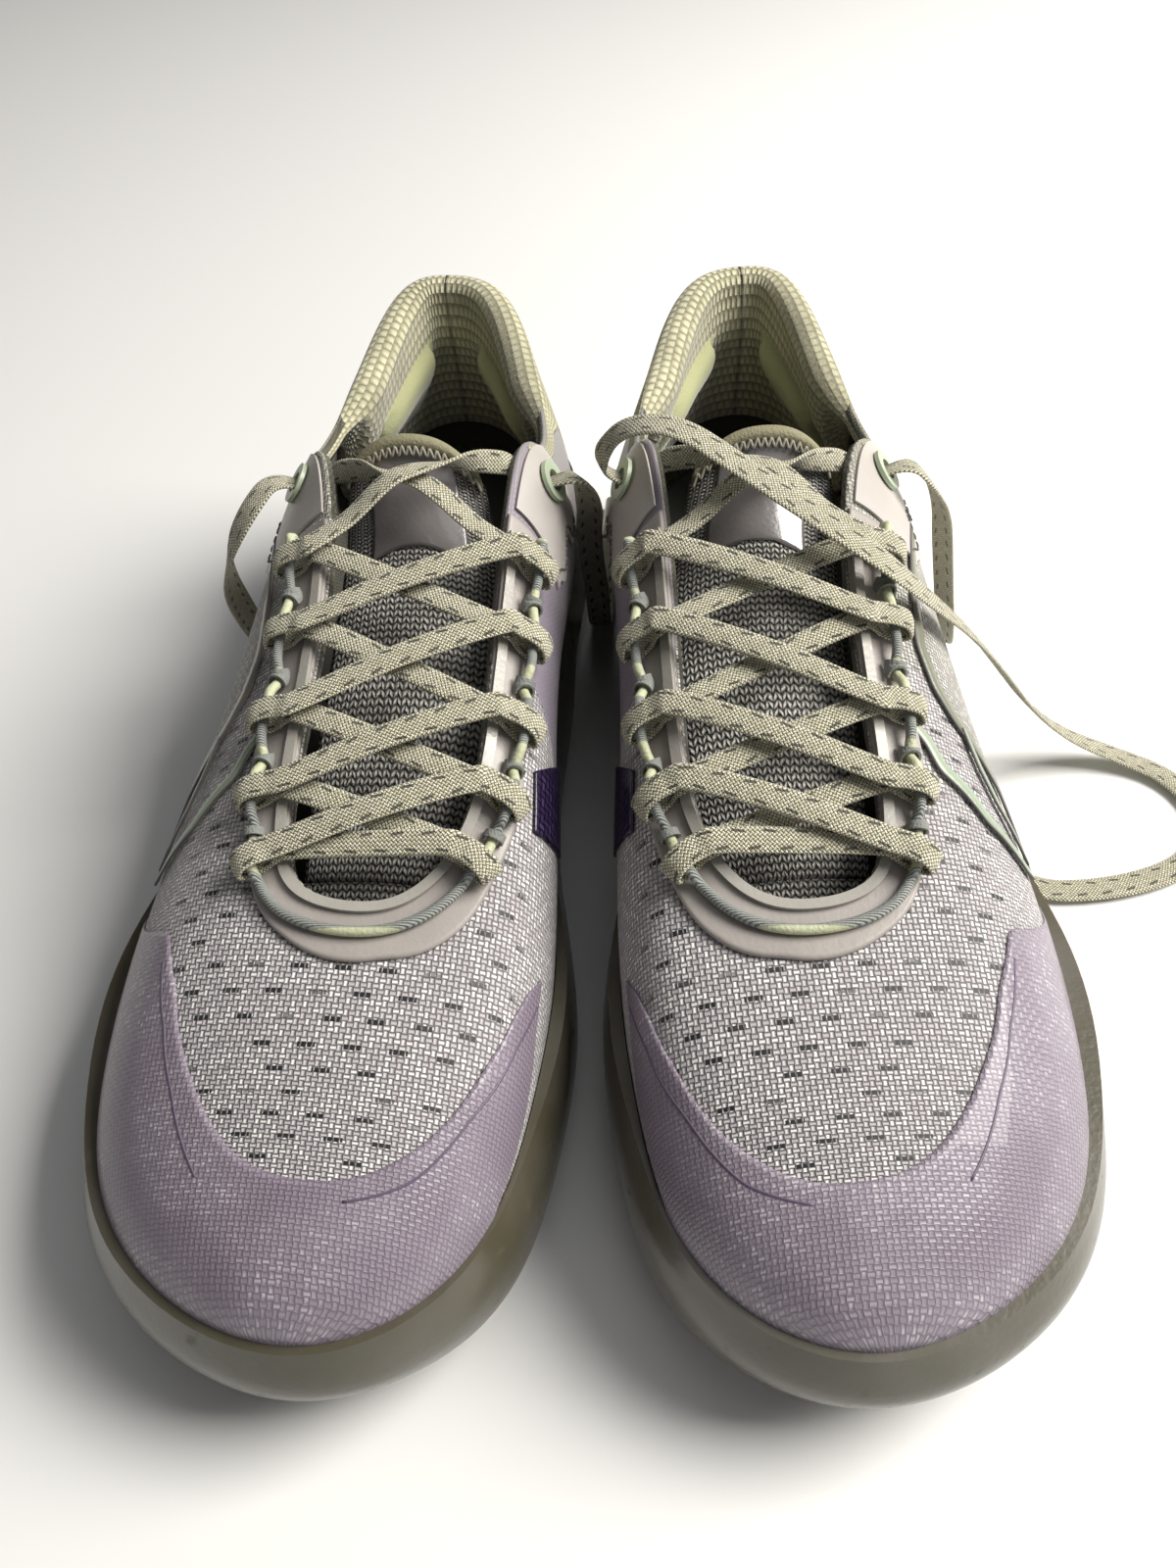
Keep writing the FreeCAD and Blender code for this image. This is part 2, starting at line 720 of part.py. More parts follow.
def side_bands():
    """Narrow curved bands on the lateral side, from the lacing down towards the sole."""
    bands = []
    for k in range(BAND_COUNT):
        def point(a, b, s, k=k):
            middle = BAND_START - BAND_PITCH * k - BAND_SWEEP * b**1.4
            t = middle + BAND_HALF_WIDTH * (2 * a - 1) * (1 - 0.5 * b)
            h = lerp(BAND_LOW_LEVEL - 0.03 * k, BAND_TOP_LEVEL - 0.07 * k, b)
            return shell(t, h, OVERLAY_GAP + OVERLAY_THICKNESS * s)
        bands.append(patch_solid(point, 5, 14))
    return Part.makeCompound(bands)


def medial_badge():
    return panel(BADGE_STATIONS, BADGE_LEVELS, (OVERLAY_GAP, OVERLAY_GAP + OVERLAY_THICKNESS), 8, 7)


# ==== tongue =====================================================================
def tongue_frame(v):
    y = through([p[0] for p in TONGUE_LINE], v) * LENGTH_GRADE
    z = through([p[1] for p in TONGUE_LINE], v) * HEIGHT_GRADE
    x = through(TONGUE_CENTRES, v) * WIDTH_GRADE
    return V(x, y, z)


def tongue_point(u, v, d):
    """Top face of the tongue at u = -1..1 across, v = 0..1 along, raised by d."""
    centre = tongue_frame(v)
    ahead = tongue_frame(min(1.0, v + 0.01)) - tongue_frame(max(0.0, v - 0.01))
    along = unit(V(0, ahead.y, ahead.z))
    up = V(0, -along.z, along.y)
    half = through(TONGUE_HALF_WIDTHS, v) * WIDTH_GRADE
    sag = through(TONGUE_SAGS, v)
    lean = unit(V(2 * sag * u / half, 0, 1))
    up = unit(V(lean.x, up.y * lean.z, up.z * lean.z))
    return centre + V(half * u, 0, -sag * u * u) + up * d


def tongue_end(u):
    """How far up the tongue reaches at one place across its width."""
    return TONGUE_END - TONGUE_SHOULDER * abs(u)**3


def tongue():
    def point(a, b, s):
        u = 2 * a - 1
        thick = lerp(TONGUE_THICKNESS, TONGUE_EDGE, u * u)
        return tongue_point(u, b * tongue_end(u), -thick * (1 - s))
    return patch_solid(point, 13, 16)


def tongue_patch():
    def point(a, b, s):
        u = TONGUE_PATCH_WIDTH * (a - 0.5)
        v = lerp(*TONGUE_PATCH_LENGTHS, b) - TONGUE_PATCH_ARCH * (2 * a - 1)**2
        return tongue_point(u, v, OVERLAY_GAP + OVERLAY_THICKNESS * s)
    return patch_solid(point, 9, 9)


def tongue_binding():
    """Strip over the tongue's top edge, on its front face and over its end."""
    def point(a, b, s):
        u = 2 * a - 1
        v = tongue_end(u) - BINDING_LENGTH * (1 - b)
        return tongue_point(BINDING_WIDTH * u, v, OVERLAY_GAP + BINDING_THICKNESS * s)
    return patch_solid(point, 13, 4)


# ==== laces ======================================================================
class Path:
    """Smooth curve through points, each with a direction that its face looks in."""

    def __init__(self, points, ups):
        self.rows = [[*p] + [*u] for p, u in zip(points, ups)]
        self.marks = [0.0]
        for p, q in zip(points, points[1:]):
            self.marks.append(self.marks[-1] + (q - p).Length)
        self.length = self.marks[-1]
        self.slopes = [self.slope(i) for i in range(len(points))]

    def slope(self, i):
        low = max(0, i - 1)
        high = min(len(self.rows) - 1, i + 1)
        span = self.marks[high] - self.marks[low]
        return [(b - a) / span for a, b in zip(self.rows[low], self.rows[high])]

    def at(self, k):
        mark = min(1.0, max(0.0, k)) * self.length
        i = 0
        while i < len(self.rows) - 2 and mark > self.marks[i + 1]:
            i += 1
        span = self.marks[i + 1] - self.marks[i]
        u = (mark - self.marks[i]) / span
        row = [(2 * u**3 - 3 * u**2 + 1) * a + (u**3 - 2 * u**2 + u) * span * m
               + (3 * u**2 - 2 * u**3) * b + (u**3 - u**2) * span * n
               for a, b, m, n in zip(self.rows[i], self.rows[i + 1], self.slopes[i], self.slopes[i + 1])]
        return V(*row[:3]), V(*row[3:])


def ribbon(points, ups, width, samples=25):
    """Flat lace along a smooth path, its face turned to the given directions."""
    path = Path(points, ups)

    def point(a, b, s):
        middle, up = path.at(a)
        along = unit(path.at(a + 0.01)[0] - path.at(a - 0.01)[0])
        side = unit(along.cross(up))
        up = unit(side.cross(along))
        return middle + side * (width * (b - 0.5)) + up * (LACE_THICKNESS * (s - 0.5))
    return patch_solid(point, samples, 4)


def lace_hold(t, layer):
    """Points of one lace end, from its outer fold to the rail, with face directions.

    Layer 0 passes under the cable, layer 1 over it and over the other lace.
    """
    half = LACE_THICKNESS / 2
    under = eyestay_top() + LACE_CLEARANCE + half
    rail = eyestay_top() + GLUE_GAP + RAIL_HEIGHT + LACE_CLEARANCE + half
    over = cable_depth(t) + CABLE_RADIUS + 1.5 * GLUE_GAP + half
    above_other = rail + LACE_THICKNESS + 5 * LACE_CLEARANCE
    fold = (under + over) / 2
    fold_from_edge = CABLE_FROM_EDGE + CABLE_RADIUS + 2 * LACE_THICKNESS
    past_cable = CABLE_FROM_EDGE + LACE_THICKNESS
    before_cable = CABLE_FROM_EDGE - 1.6 * LACE_THICKNESS
    rail_foot = RAIL_FROM_EDGE + RAIL_WIDTH + LACE_CLEARANCE
    if layer:
        marks = [(fold_from_edge, fold + half + GLUE_GAP), (past_cable, over), (before_cable, over + 0.2),
                 (rail_foot, above_other + 0.4), (0.2, above_other + 0.7)]
    else:
        marks = [(fold_from_edge, fold - half - GLUE_GAP), (past_cable, under), (before_cable, under + 0.1),
                 (rail_foot, rail + 0.1), (0.2, rail + 0.9)]
    points = []
    ups = []
    for place, height in marks:
        h = level_from_edge(t, place)
        points.append(shell(t, h, height))
        ups.append(out_of_last(t, h))
    return points, ups


def strand(t_from, t_to, layers, lift):
    """Lace from the cable at one station, over the throat, to the cable at another."""
    start, start_ups = lace_hold(t_from, layers[0])
    end, end_ups = lace_hold(t_to, layers[1])
    middle = (start[-1] + end[-1]) / 2 + V(0, 0, lift)
    points = start + [middle] + end[::-1]
    ups = start_ups + [unit(start_ups[-1] + end_ups[-1])] + end_ups[::-1]
    return ribbon(points, ups, LACE_WIDTH, 31)


def eyelet_strand(side, t_to, layer, lift):
    """Lace from behind an eyelet, up over the tongue, to the topmost loop opposite."""
    end, end_ups = lace_hold(t_to, layer)
    behind = -UPPER_THICKNESS - LACE_CLEARANCE - LACE_THICKNESS / 2

    def inside(turn, h, depth):
        t = turn if side > 0 else ROUND - turn
        return shell(t, h, depth), out_of_last(t, h) * -1

    start, start_up = inside(EYELET_STATION, EYELET_LEVEL, behind)
    edge, edge_up = inside(EYELET_STATION + 0.25, 1.0, behind - 2 * LACE_THICKNESS)
    edge += V(0, 0, 2.4 * LACE_THICKNESS)
    middle = (edge + end[-1]) / 2 + V(0, 0, lift)
    near = edge * 0.2 + end[-1] * 0.8 + V(0, 0, 0.25 * lift)
    points = [start, edge, middle, near] + end[::-1]
    top_ups = [unit(edge_up + V(0, 0, 0.5)), V(0, 0, 1), unit(end_ups[-1] + V(0, 0, 1))]
    ups = [start_up] + top_ups + end_ups[::-1]
    return ribbon(points, ups, LACE_WIDTH, 31)


def lace():
    """Criss-cross lacing: one set of diagonals stays on top from end to end."""
    lateral = LACE_LEVELS
    medial = [ROUND - t for t in LACE_LEVELS]
    strands = [strand(lateral[0], medial[0], (0, 1), 0.4)]
    for i in range(1, len(LACE_LEVELS)):
        strands.append(strand(medial[i], lateral[i - 1], (1, 1), 1.8))
        strands.append(strand(lateral[i], medial[i - 1], (0, 0), 0.6))
    strands.append(eyelet_strand(1, medial[-1], 0, 7.6))
    strands.append(eyelet_strand(-1, lateral[-1], 1, 8.0))
    return Part.makeCompound(strands)


# ==== free ends of the laces =====================================================
# Routes of the free ends, hand-laid, in the pair's own frame, from just outside the
# eyelet to the start of the aglet.
TAIL_ROUTES = {
    "left_lace_tail_a": [
        (3.5, 38, 101), (9, 36, 109.5), (21, 31, 113), (36, 21, 107.5), (50, 10.5, 103),
        (64, 3, 97), (78, 5, 83), (92, 12, 66), (105, 20, 46), (118, 26, 26), (133, 30, 10),
        (149, 29, 3), (162, 22, 2.6), (168, 8, 2.6), (163, -6, 2.6), (149, -14, 2.6),
        (132, -18, 2.6), (116, -18, 2.6), (106, -8, 2.6), (102, 8, 2.6), (101, 24, 2.6)],
    "left_lace_tail_b": [
        (84, 44, 87), (90, 50, 75), (94, 56, 59), (98, 60, 42), (102, 63, 25), (105, 70, 10),
        (106, 83, 3), (104, 99, 2.6), (99, 115, 2.6), (91, 130, 2.6), (79, 143, 2.6),
        (64, 152, 2.6), (47, 157, 2.6)],
    "right_lace_tail_a": [
        (-1, 43, 89), (0, 49, 79), (-1, 55, 67), (-1, 60, 53), (0, 64, 39), (0, 69, 25),
        (0, 78, 12), (0, 91, 4.5), (1, 105, 2.6), (0, 120, 2.6), (1, 134, 2.6)],
    "right_lace_tail_b": [
        (-84, 35, 88.5), (-91, 33, 78), (-96, 39, 64), (-99, 48, 48), (-101, 57, 32),
        (-103, 66, 17), (-105, 78, 6.5), (-104, 92, 2.6), (-100, 108, 2.6), (-93, 123, 2.6),
        (-83, 137, 2.6), (-69, 148, 2.6), (-53, 154, 2.6)],
}
TAIL_INTO_HOLE = 1.7
TAIL_OUT_OF_HOLE = 7.0
ARC_SHARE = 0.45


def rounded_path(points):
    """Straight runs joined by tangent arcs; returns the edges, their radii and length."""
    edges = []
    radii = []
    last_end = points[0]
    for before, corner, after in zip(points, points[1:], points[2:]):
        arriving = corner - before
        leaving = after - corner
        shorter = min(arriving.Length, leaving.Length)
        turn = arriving.getAngle(leaving)
        cut = ARC_SHARE * shorter
        start = corner - unit(arriving) * cut
        end = corner + unit(leaving) * cut
        middle_way = unit(unit(leaving) - unit(arriving))
        sagitta = cut * math.tan(turn / 4) * math.cos(turn / 2)
        chord_middle = (start + end) / 2
        edges.append(Part.LineSegment(last_end, start).toShape())
        edges.append(Part.Arc(start, chord_middle - middle_way * sagitta, end).toShape())
        radii.append(cut / math.tan(turn / 2))
        last_end = end
    edges.append(Part.LineSegment(last_end, points[-1]).toShape())
    return edges, radii, sum(edge.Length for edge in edges)


def cord_tube(name, points):
    edges, radii, length = rounded_path(points)
    start = unit(points[1] - points[0])
    profile = Part.Wire([Part.Circle(points[0], start, TAIL_DIAMETER / 2).toShape()])
    tube = Part.Wire(edges).makePipeShell([profile], True, True, 1)
    share = tube.Volume / (math.pi * TAIL_DIAMETER**2 / 4 * length)
    print(name, "length", round(length, 1), "volume share", round(share, 4))
    print("  radii", [round(radius, 1) for radius in radii])
    return tube


def tail_points(name, to_middle):
    """The whole route: out of the eyelet's hole, then along the hand-laid points."""
    side = 1 if name.endswith("b") else -1
    centre, out = eyelet_axis(side)
    marks = Part.makePolygon([centre - out * TAIL_INTO_HOLE, centre + out * TAIL_OUT_OF_HOLE])
    marks = place_left(marks)
    marks.translate(to_middle)
    if name.startswith("right"):
        marks = marks.mirror(V(0, 0, 0), V(1, 0, 0))
    route = [V(*p) for p in TAIL_ROUTES[name]]
    ends = [vertex.Point for vertex in marks.Vertexes]
    ends.sort(key=lambda p: (p - route[0]).Length, reverse=True)
    return ends + route


def aglet(points):
    """Stiff tip of a lace, butted to the end of its tail."""
    along = unit(points[-1] - points[-2])
    return Part.makeCylinder(AGLET_DIAMETER / 2, AGLET_LENGTH, points[-1] + along * GLUE_GAP, along)


# ==== assembling the pair ========================================================
def place_left(shape):
    placed = shape.copy()
    placed.rotate(V(0, 0, 0), V(0, 0, 1), TOE_OUT_ANGLE)
    placed.translate(V(SHOE_OFFSET, 0, 0))
    return placed


def shoe_nodes():
    cavity = last_block(lambda t: UPPER_GAP, above(footbed_height, -GLUE_GAP), lambda y: CAVITY_TOP)
    return {
        "outsole": outsole(),
        "midsole": midsole(cavity),
        "sidewall": sidewall(cavity),
        "shank_plate": shank_box(0.0),
        "strobel_board": strobel_board(),
        "insole": insole(),
        "vamp": vamp(),
        "lateral_quarter": lateral_quarter(),
        "medial_quarter": medial_quarter(),
        "heel_quarter": heel_quarter(),
        "heel_counter": heel_counter(),
        "collar_pad": collar_pad(),
        "ankle_pads": ankle_pads(),
        "toe_cap": toe_cap(),
        "eyestay": eyestay(),
        "throat_rails": throat_rails(),
        "lace_cable": lace_cable(),
        "cable_tacks": cable_tacks(),
        "eyelet_patches": eyelet_patches(),
        "eyelet_rings": eyelet_rings(),
        "tongue": tongue(),
        "tongue_patch": tongue_patch(),
        "tongue_binding": tongue_binding(),
        "side_bands": side_bands(),
        "medial_badge": medial_badge(),
        "lace": lace(),
    }


os.makedirs("parts", exist_ok=True)
left = {name: place_left(shape) for name, shape in shoe_nodes().items()}
ends = [left["sidewall"].BoundBox, left["outsole"].BoundBox]
to_middle = V(0, -(max(b.YMax for b in ends) + min(b.YMin for b in ends)) / 2, 0)
nodes = {}
for name, shape in left.items():
    shape.translate(to_middle)
    nodes["left_" + name] = shape
    nodes["right_" + name] = shape.mirror(V(0, 0, 0), V(1, 0, 0))
for shoe in ("left", "right"):
    tips = []
    for name in (shoe + "_lace_tail_a", shoe + "_lace_tail_b"):
        points = tail_points(name, to_middle)
        nodes[name] = cord_tube(name, points)
        tips.append(aglet(points))
    nodes[shoe + "_aglets"] = Part.makeCompound(tips)
for name, shape in nodes.items():
    shape.exportStep("parts/" + name + ".step")
    print(name, len(shape.Solids), shape.isValid(), round(sum(s.Volume for s in shape.Solids) / 1000, 2))
print("moved to the middle by", round(to_middle.y, 3))
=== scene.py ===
import math

import bpy
import numpy as np
from mathutils import Matrix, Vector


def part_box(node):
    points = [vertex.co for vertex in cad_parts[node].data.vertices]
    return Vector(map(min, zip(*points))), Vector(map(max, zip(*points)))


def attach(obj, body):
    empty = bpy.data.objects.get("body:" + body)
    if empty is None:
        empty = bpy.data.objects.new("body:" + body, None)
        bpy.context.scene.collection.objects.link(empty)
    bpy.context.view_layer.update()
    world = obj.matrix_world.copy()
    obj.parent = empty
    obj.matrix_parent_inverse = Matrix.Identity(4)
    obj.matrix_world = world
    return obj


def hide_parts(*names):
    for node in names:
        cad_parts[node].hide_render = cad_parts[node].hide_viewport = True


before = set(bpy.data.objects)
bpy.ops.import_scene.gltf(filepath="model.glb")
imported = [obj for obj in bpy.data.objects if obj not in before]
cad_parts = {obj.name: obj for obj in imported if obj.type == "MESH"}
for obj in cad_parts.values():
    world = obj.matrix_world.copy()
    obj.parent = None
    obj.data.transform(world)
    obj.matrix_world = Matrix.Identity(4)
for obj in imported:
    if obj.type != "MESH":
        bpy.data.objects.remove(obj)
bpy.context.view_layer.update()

MM = 0.001
SHOES = (("left", 1), ("right", -1))

# ==== the shoe's master surface, in millimetres, in one shoe's own frame
TOE_OUT_ANGLE = math.radians(4.4)
SHOE_OFFSET = 48.0
SOLE_LENGTH = 298.0
FEATHER_INSET = 7.0

# sole outline (x, y), top edge of the upper (x, y, z), rise and bulge, reach and drop
STATIONS = [
    (6, 149, 5, 138, 95, 30, 6, -2, 22),
    (30, 138, 19, 131, 94, 30, 6, -1, 22),
    (44, 110, 26, 107, 87, 28, 7, 3, 20),
    (44, 74, 29.5, 80, 82, 26, 7.5, 7, 17.5),
    (44, 44, 28, 58, 88, 26, 9, 12, 19),
    (45, 16, 19, 40, 98, 26, 11, 18, 17),
    (49, -20, 12, 8, 89, 26, 11.5, 23, 9),
    (56, -60, 10, -30, 78, 22, 8.5, 23, 5),
    (53, -98, 9, -53, 70, 20, 8, 23, 3),
    (36, -132, 4, -64, 66, 19, 8, 30, 5),
    (-4, -149, -8, -67, 65, 20, 7, 42, 6),
    (-38, -132, -19, -63, 66, 19, 7, 30, 5),
    (-49, -98, -27, -50, 71, 20, 5.5, 18, 5),
    (-49.5, -60, -29, -28, 79, 23, 5, 18, 8.5),
    (-41, -20, -28, 10, 90, 27, 7.5, 19, 15),
    (-38, 16, -29, 41, 101, 27, 8, 18, 20),
    (-37.5, 44, -31, 58, 92, 27, 8, 15, 21),
    (-36, 74, -29, 80, 85, 27, 8, 12, 18),
    (-35, 110, -22, 108, 88, 28, 6, 5, 19),
    (-20, 139, -11, 131, 94, 30, 6, -1, 22),
]
ROUND = len(STATIONS)
# stations where one panel of the upper ends and the next starts
LATERAL_START = 2.6
VAMP_START = 6.5
VAMP_END = 13.5
MEDIAL_END = 17.4
UPPER_THICKNESS = 2.2
# where the flat tread ends, from the middle, and how far the sole rises beyond
TOE_SPRING = (52.0, 13.0)
HEEL_BEVEL = (112.0, 4.0)
FOOTBED_LOW = 17
FOOTBED_RISE = 8
# height of the sole's rim at the ball, the arch, the heel and the toe
RIM_BALL, RIM_ARCH, RIM_HEEL, RIM_TOE = 34, 38, 45, 34.5


def smooth(low, high, value):
    k = np.clip((value - low) / (high - low), 0, 1)
    return k * k * (3 - 2 * k)


def unit(v):
    return v / np.linalg.norm(v, axis=-1, keepdims=True)


def distances(points):
    """Length along a line up to each of its points."""
    return np.concatenate([[0], np.cumsum(np.linalg.norm(np.diff(points, axis=0), axis=1))])


def grid(rows, columns):
    """Two arrays, one running down the rows and one along the columns."""
    return np.meshgrid(np.linspace(*rows), np.linspace(*columns), indexing="ij")


def both_faces(front, back):
    """Rings that run along one face of a sheet and return along the other."""
    return np.concatenate([front, back[:, ::-1]], 1)


def hermite(u, p, q, slope_p, slope_q):
    """Cubic from p to q with these slopes, at u in 0..1."""
    return ((2 * u**3 - 3 * u**2 + 1) * p + (u**3 - 2 * u**2 + u) * slope_p
            + (3 * u**2 - 2 * u**3) * q + (u**3 - u**2) * slope_q)


def loop_controls(rows):
    controls = rows.copy()
    for _ in range(40):
        for i in range(len(rows)):
            neighbours = controls[i - 1] + controls[(i + 1) % len(rows)]
            controls[i] = (6 * rows[i] - neighbours) / 4
    return controls


CONTROLS = loop_controls(np.array(STATIONS, float))


def station(t):
    """Row of the table at t, between its stations where t is not whole."""
    i = np.floor(t).astype(int)
    u = (t - i)[..., None]
    weights = ((1 - u)**3 / 6, (3 * u**3 - 6 * u**2 + 4) / 6,
               (-3 * u**3 + 3 * u**2 + 3 * u + 1) / 6, u**3 / 6)
    return sum(w * CONTROLS[(i - 1 + k) % ROUND] for k, w in enumerate(weights))


def bottom_height(y):
    half = SOLE_LENGTH / 2
    base = np.zeros_like(y)
    for (start, rise), ahead in ((TOE_SPRING, -y), (HEEL_BEVEL, y)):
        span = half - start
        radius = (span**2 + rise**2) / (2 * rise)
        base += radius - np.sqrt(radius**2 - np.clip(ahead - start, 0, radius)**2)
    return base


def footbed_height(y):
    return bottom_height(y) + FOOTBED_LOW + FOOTBED_RISE * smooth(-60, 60, y)


def rim_height(y):
    height = RIM_BALL + (RIM_ARCH - RIM_BALL) * smooth(-50, 20, y)
    height = height + (RIM_HEEL - height) * smooth(40, 120, y)
    return height + (RIM_TOE - height) * smooth(-80, -140, y)


def on_last(t, h):
    """Outer face of the upper: h = 0 at the feather line, 1 at the top edge."""
    t, h = np.broadcast_arrays(np.asarray(t, float), np.asarray(h, float))
    row = station(t)
    along = unit((station(t + 0.001) - station(t - 0.001))[..., :2])
    out = np.stack([-along[..., 1], along[..., 0], np.zeros_like(t)], -1)
    foot = np.stack([row[..., 0], row[..., 1], np.zeros_like(t)], -1) - out * FEATHER_INSET
    foot[..., 2] = footbed_height(foot[..., 1])
    up = np.array([0, 0, 1.0])
    top = row[..., 2:5]
    p1 = foot + out * row[..., 6:7] + up * row[..., 5:6]
    p2 = top + out * row[..., 7:8] - up * row[..., 8:9]
    h = h[..., None]
    g = 1 - h
    return foot * g**3 + p1 * (3 * g**2 * h) + p2 * (3 * g * h**2) + top * h**3


def out_of_last(t, h):
    step = 0.004
    up = on_last(t, np.minimum(1, h + step)) - on_last(t, np.maximum(0, h - step))
    along = on_last(np.asarray(t) + step, h) - on_last(np.asarray(t) - step, h)
    return unit(np.cross(up, along))


def shell(t, h, d):
    """Point at distance d outside the upper's outer face, or inside where d < 0."""
    t, h, d = np.broadcast_arrays(*(np.asarray(i, float) for i in (t, h, d)))
    return on_last(t, h) + out_of_last(t, h) * d[..., None]


def bisect(t, low, high, go_up):
    low = np.full_like(t, low)
    high = np.full_like(t, high)
    for _ in range(18):
        middle = (low + high) / 2
        up = go_up(middle)
        low = np.where(up, middle, low)
        high = np.where(up, high, middle)
    return (low + high) / 2


def level_at_height(t, z):
    return bisect(t, 0.0, 0.95, lambda h: on_last(t, h)[..., 2] < z)


def level_from_edge(t, distance):
    """h of the point that lies this far below the upper's top edge."""
    t, distance = np.broadcast_arrays(np.asarray(t, float), np.asarray(distance, float))
    edge = on_last(t, 1.0)
    return bisect(t, 0.3, 1.0, lambda h: np.linalg.norm(on_last(t, h) - edge, axis=-1) > distance)


# ---- how cloth lies on the last: millimetres across and along
SLICE_STEP = 4.0
SLICES = np.arange(-138.0, 139.0, SLICE_STEP)
CROSS_X = -2.0
CROSS_Z = 24.0
# cloth is longer than its plan by this factor, and more where it runs down over the toe
SLOPE_STRETCH = 1.04
TOE_STRETCH = 14


def cross_angle(points):
    return np.arctan2(points[..., 2] - CROSS_Z, points[..., 0] - CROSS_X)


def make_girth_tables():
    """For each slice across the shoe, distance round it against direction from its middle."""
    t, h = grid((0, ROUND, 401), (0, 1, 61))
    surface = on_last(t, h)
    angles = np.linspace(-0.2, math.pi + 0.2, 120)
    tables = []
    for y in SLICES:
        found = []
        for a, b in ((surface[:-1], surface[1:]), (surface[:, :-1], surface[:, 1:])):
            crossing = (a[..., 1] - y) * (b[..., 1] - y) < 0
            a, b = a[crossing], b[crossing]
            k = (y - a[:, 1]) / (b[:, 1] - a[:, 1])
            found.append(a + (b - a) * k[:, None])
        found = np.concatenate(found)
        order = np.argsort(cross_angle(found))
        found = found[order]
        flat = found[:, ::2]
        angle = cross_angle(found)
        radius = np.interp(angles, angle, np.linalg.norm(flat - (CROSS_X, CROSS_Z), axis=1))
        ring = np.stack([np.cos(angles) * radius, np.sin(angles) * radius], 1)
        length = distances(ring)
        tables.append(length - np.interp(math.pi / 2, angles, length))
    return angles, np.array(tables)


GIRTH_ANGLES, GIRTH_TABLES = make_girth_tables()


def cloth_uv(points):
    """Distance across the shoe from its middle line, and along it from the toe."""
    angle = cross_angle(points)
    y = points[..., 1]
    place = np.clip((y - SLICES[0]) / SLICE_STEP, 0, len(SLICES) - 1.001)
    i = place.astype(int)
    k = place - i
    column = np.clip(np.interp(angle, GIRTH_ANGLES, np.arange(len(GIRTH_ANGLES))), 0,
                     len(GIRTH_ANGLES) - 1.001)
    j = column.astype(int)
    m = column - j
    girth = sum(wa * wb * GIRTH_TABLES[i + a, j + b]
                for a, wa in ((0, 1 - k), (1, k)) for b, wb in ((0, 1 - m), (1, m)))
    along = y * SLOPE_STRETCH - TOE_STRETCH * smooth(-95, -142, y)
    return np.stack([-girth, along], -1)


# ==== placing pieces
def own_to_pair(points, side):
    """From a shoe's own frame in millimetres to the pair's frame in metres."""
    x, y, z = points[..., 0], points[..., 1], points[..., 2]
    c, s = math.cos(TOE_OUT_ANGLE), math.sin(TOE_OUT_ANGLE)
    return np.stack([side * (x * c - y * s + SHOE_OFFSET), x * s + y * c + SHIFT_Y, z], -1) * MM


SHIFT_Y = 0.0
VAMP_EDGE = shell(np.linspace(VAMP_START, VAMP_END, 200), np.linspace(0, 1, 60)[:, None], 0.0)
SHIFT_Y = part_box("left_vamp")[0][1] / MM - own_to_pair(VAMP_EDGE, 1)[..., 1].min() / MM


def add_object(name, data):
    piece = bpy.data.objects.new(name, data)
    bpy.context.scene.collection.objects.link(piece)
    return piece


def mesh_object(name, points, faces, material, uv=None, inner=None):
    mesh = bpy.data.meshes.new(name)
    mesh.from_pydata([tuple(p) for p in points], [], faces)
    mesh.update()
    mesh.shade_smooth()
    for entry in [material, *([inner[0]] if inner else [])]:
        mesh.materials.append(entry)
    if inner:
        mesh.polygons.foreach_set("material_index", np.array(inner[1], np.int32))
    if uv is not None:
        layer = mesh.uv_layers.new(name="UVMap")
        index = np.zeros(len(mesh.loops), np.int32)
        mesh.loops.foreach_get("vertex_index", index)
        layer.data.foreach_set("uv", np.asarray(uv, np.float32)[index].ravel())
    return add_object(name, mesh)


def finish_piece(piece, shoe, slot, *parts, rides="shoe"):
    """Give a piece its body, and hide the shoe's CAD parts that it stands for. The slot is not
    used.
    """
    body, *nodes = (shoe + "_" + part for part in (rides, *parts))
    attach(piece, body)
    if nodes:
        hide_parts(*nodes)
    return piece


def loft_faces(n, m, side, first=0):
    """Faces between n rings of m points, then a cap on the first and the last ring."""
    faces = []
    for i in range(n - 1):
        for j in range(m):
            k = (j + 1) % m
            faces.append([i * m + j, (i + 1) * m + j, (i + 1) * m + k, i * m + k])
    faces += [list(range(m)), list(range((n - 1) * m, n * m))[::-1]]
    return [[first + corner for corner in face[::side]] for face in faces]


def loft(name, side, sections, uv, material, inner=None):
    """Closed skin through sections, an array of rings of points in a shoe's own frame."""
    n, m = sections.shape[:2]
    faces = loft_faces(n, m, side)
    marks = None
    if inner:
        around = [0 if j < inner[1] else 1 for j in range(m)] * (n - 1) + [0, 0]
        marks = (inner[0], around)
    return mesh_object(name, own_to_pair(sections, side).reshape(-1, 3), faces, material,
                       uv.reshape(-1, 2), marks)


EDGE_THINNING = 0.25


def layer(name, side, t, h, depth, material, inner=None):
    """Piece of the upper: t and h are (n, m) stations and levels, depth its (inside, outside)."""
    outside = np.full(h.shape, depth[1])
    outside[:, [0, -1]] -= EDGE_THINNING * (depth[1] - depth[0])
    inside = np.full(h.shape, depth[0])
    points = shell(both_faces(t, t), both_faces(h, h), both_faces(outside, inside))
    marks = (inner, h.shape[1] - 1) if inner else None
    return loft(name, side, points, cloth_uv(points), material, marks)


# ==== materials
def operation(kind, swapped=False):
    """Method that builds one math node from a value and, for most kinds, another one."""
    def build(self, *others):
        values = (self, *others)
        return self.shader.math(kind, *(values[::-1] if swapped else values))
    return build


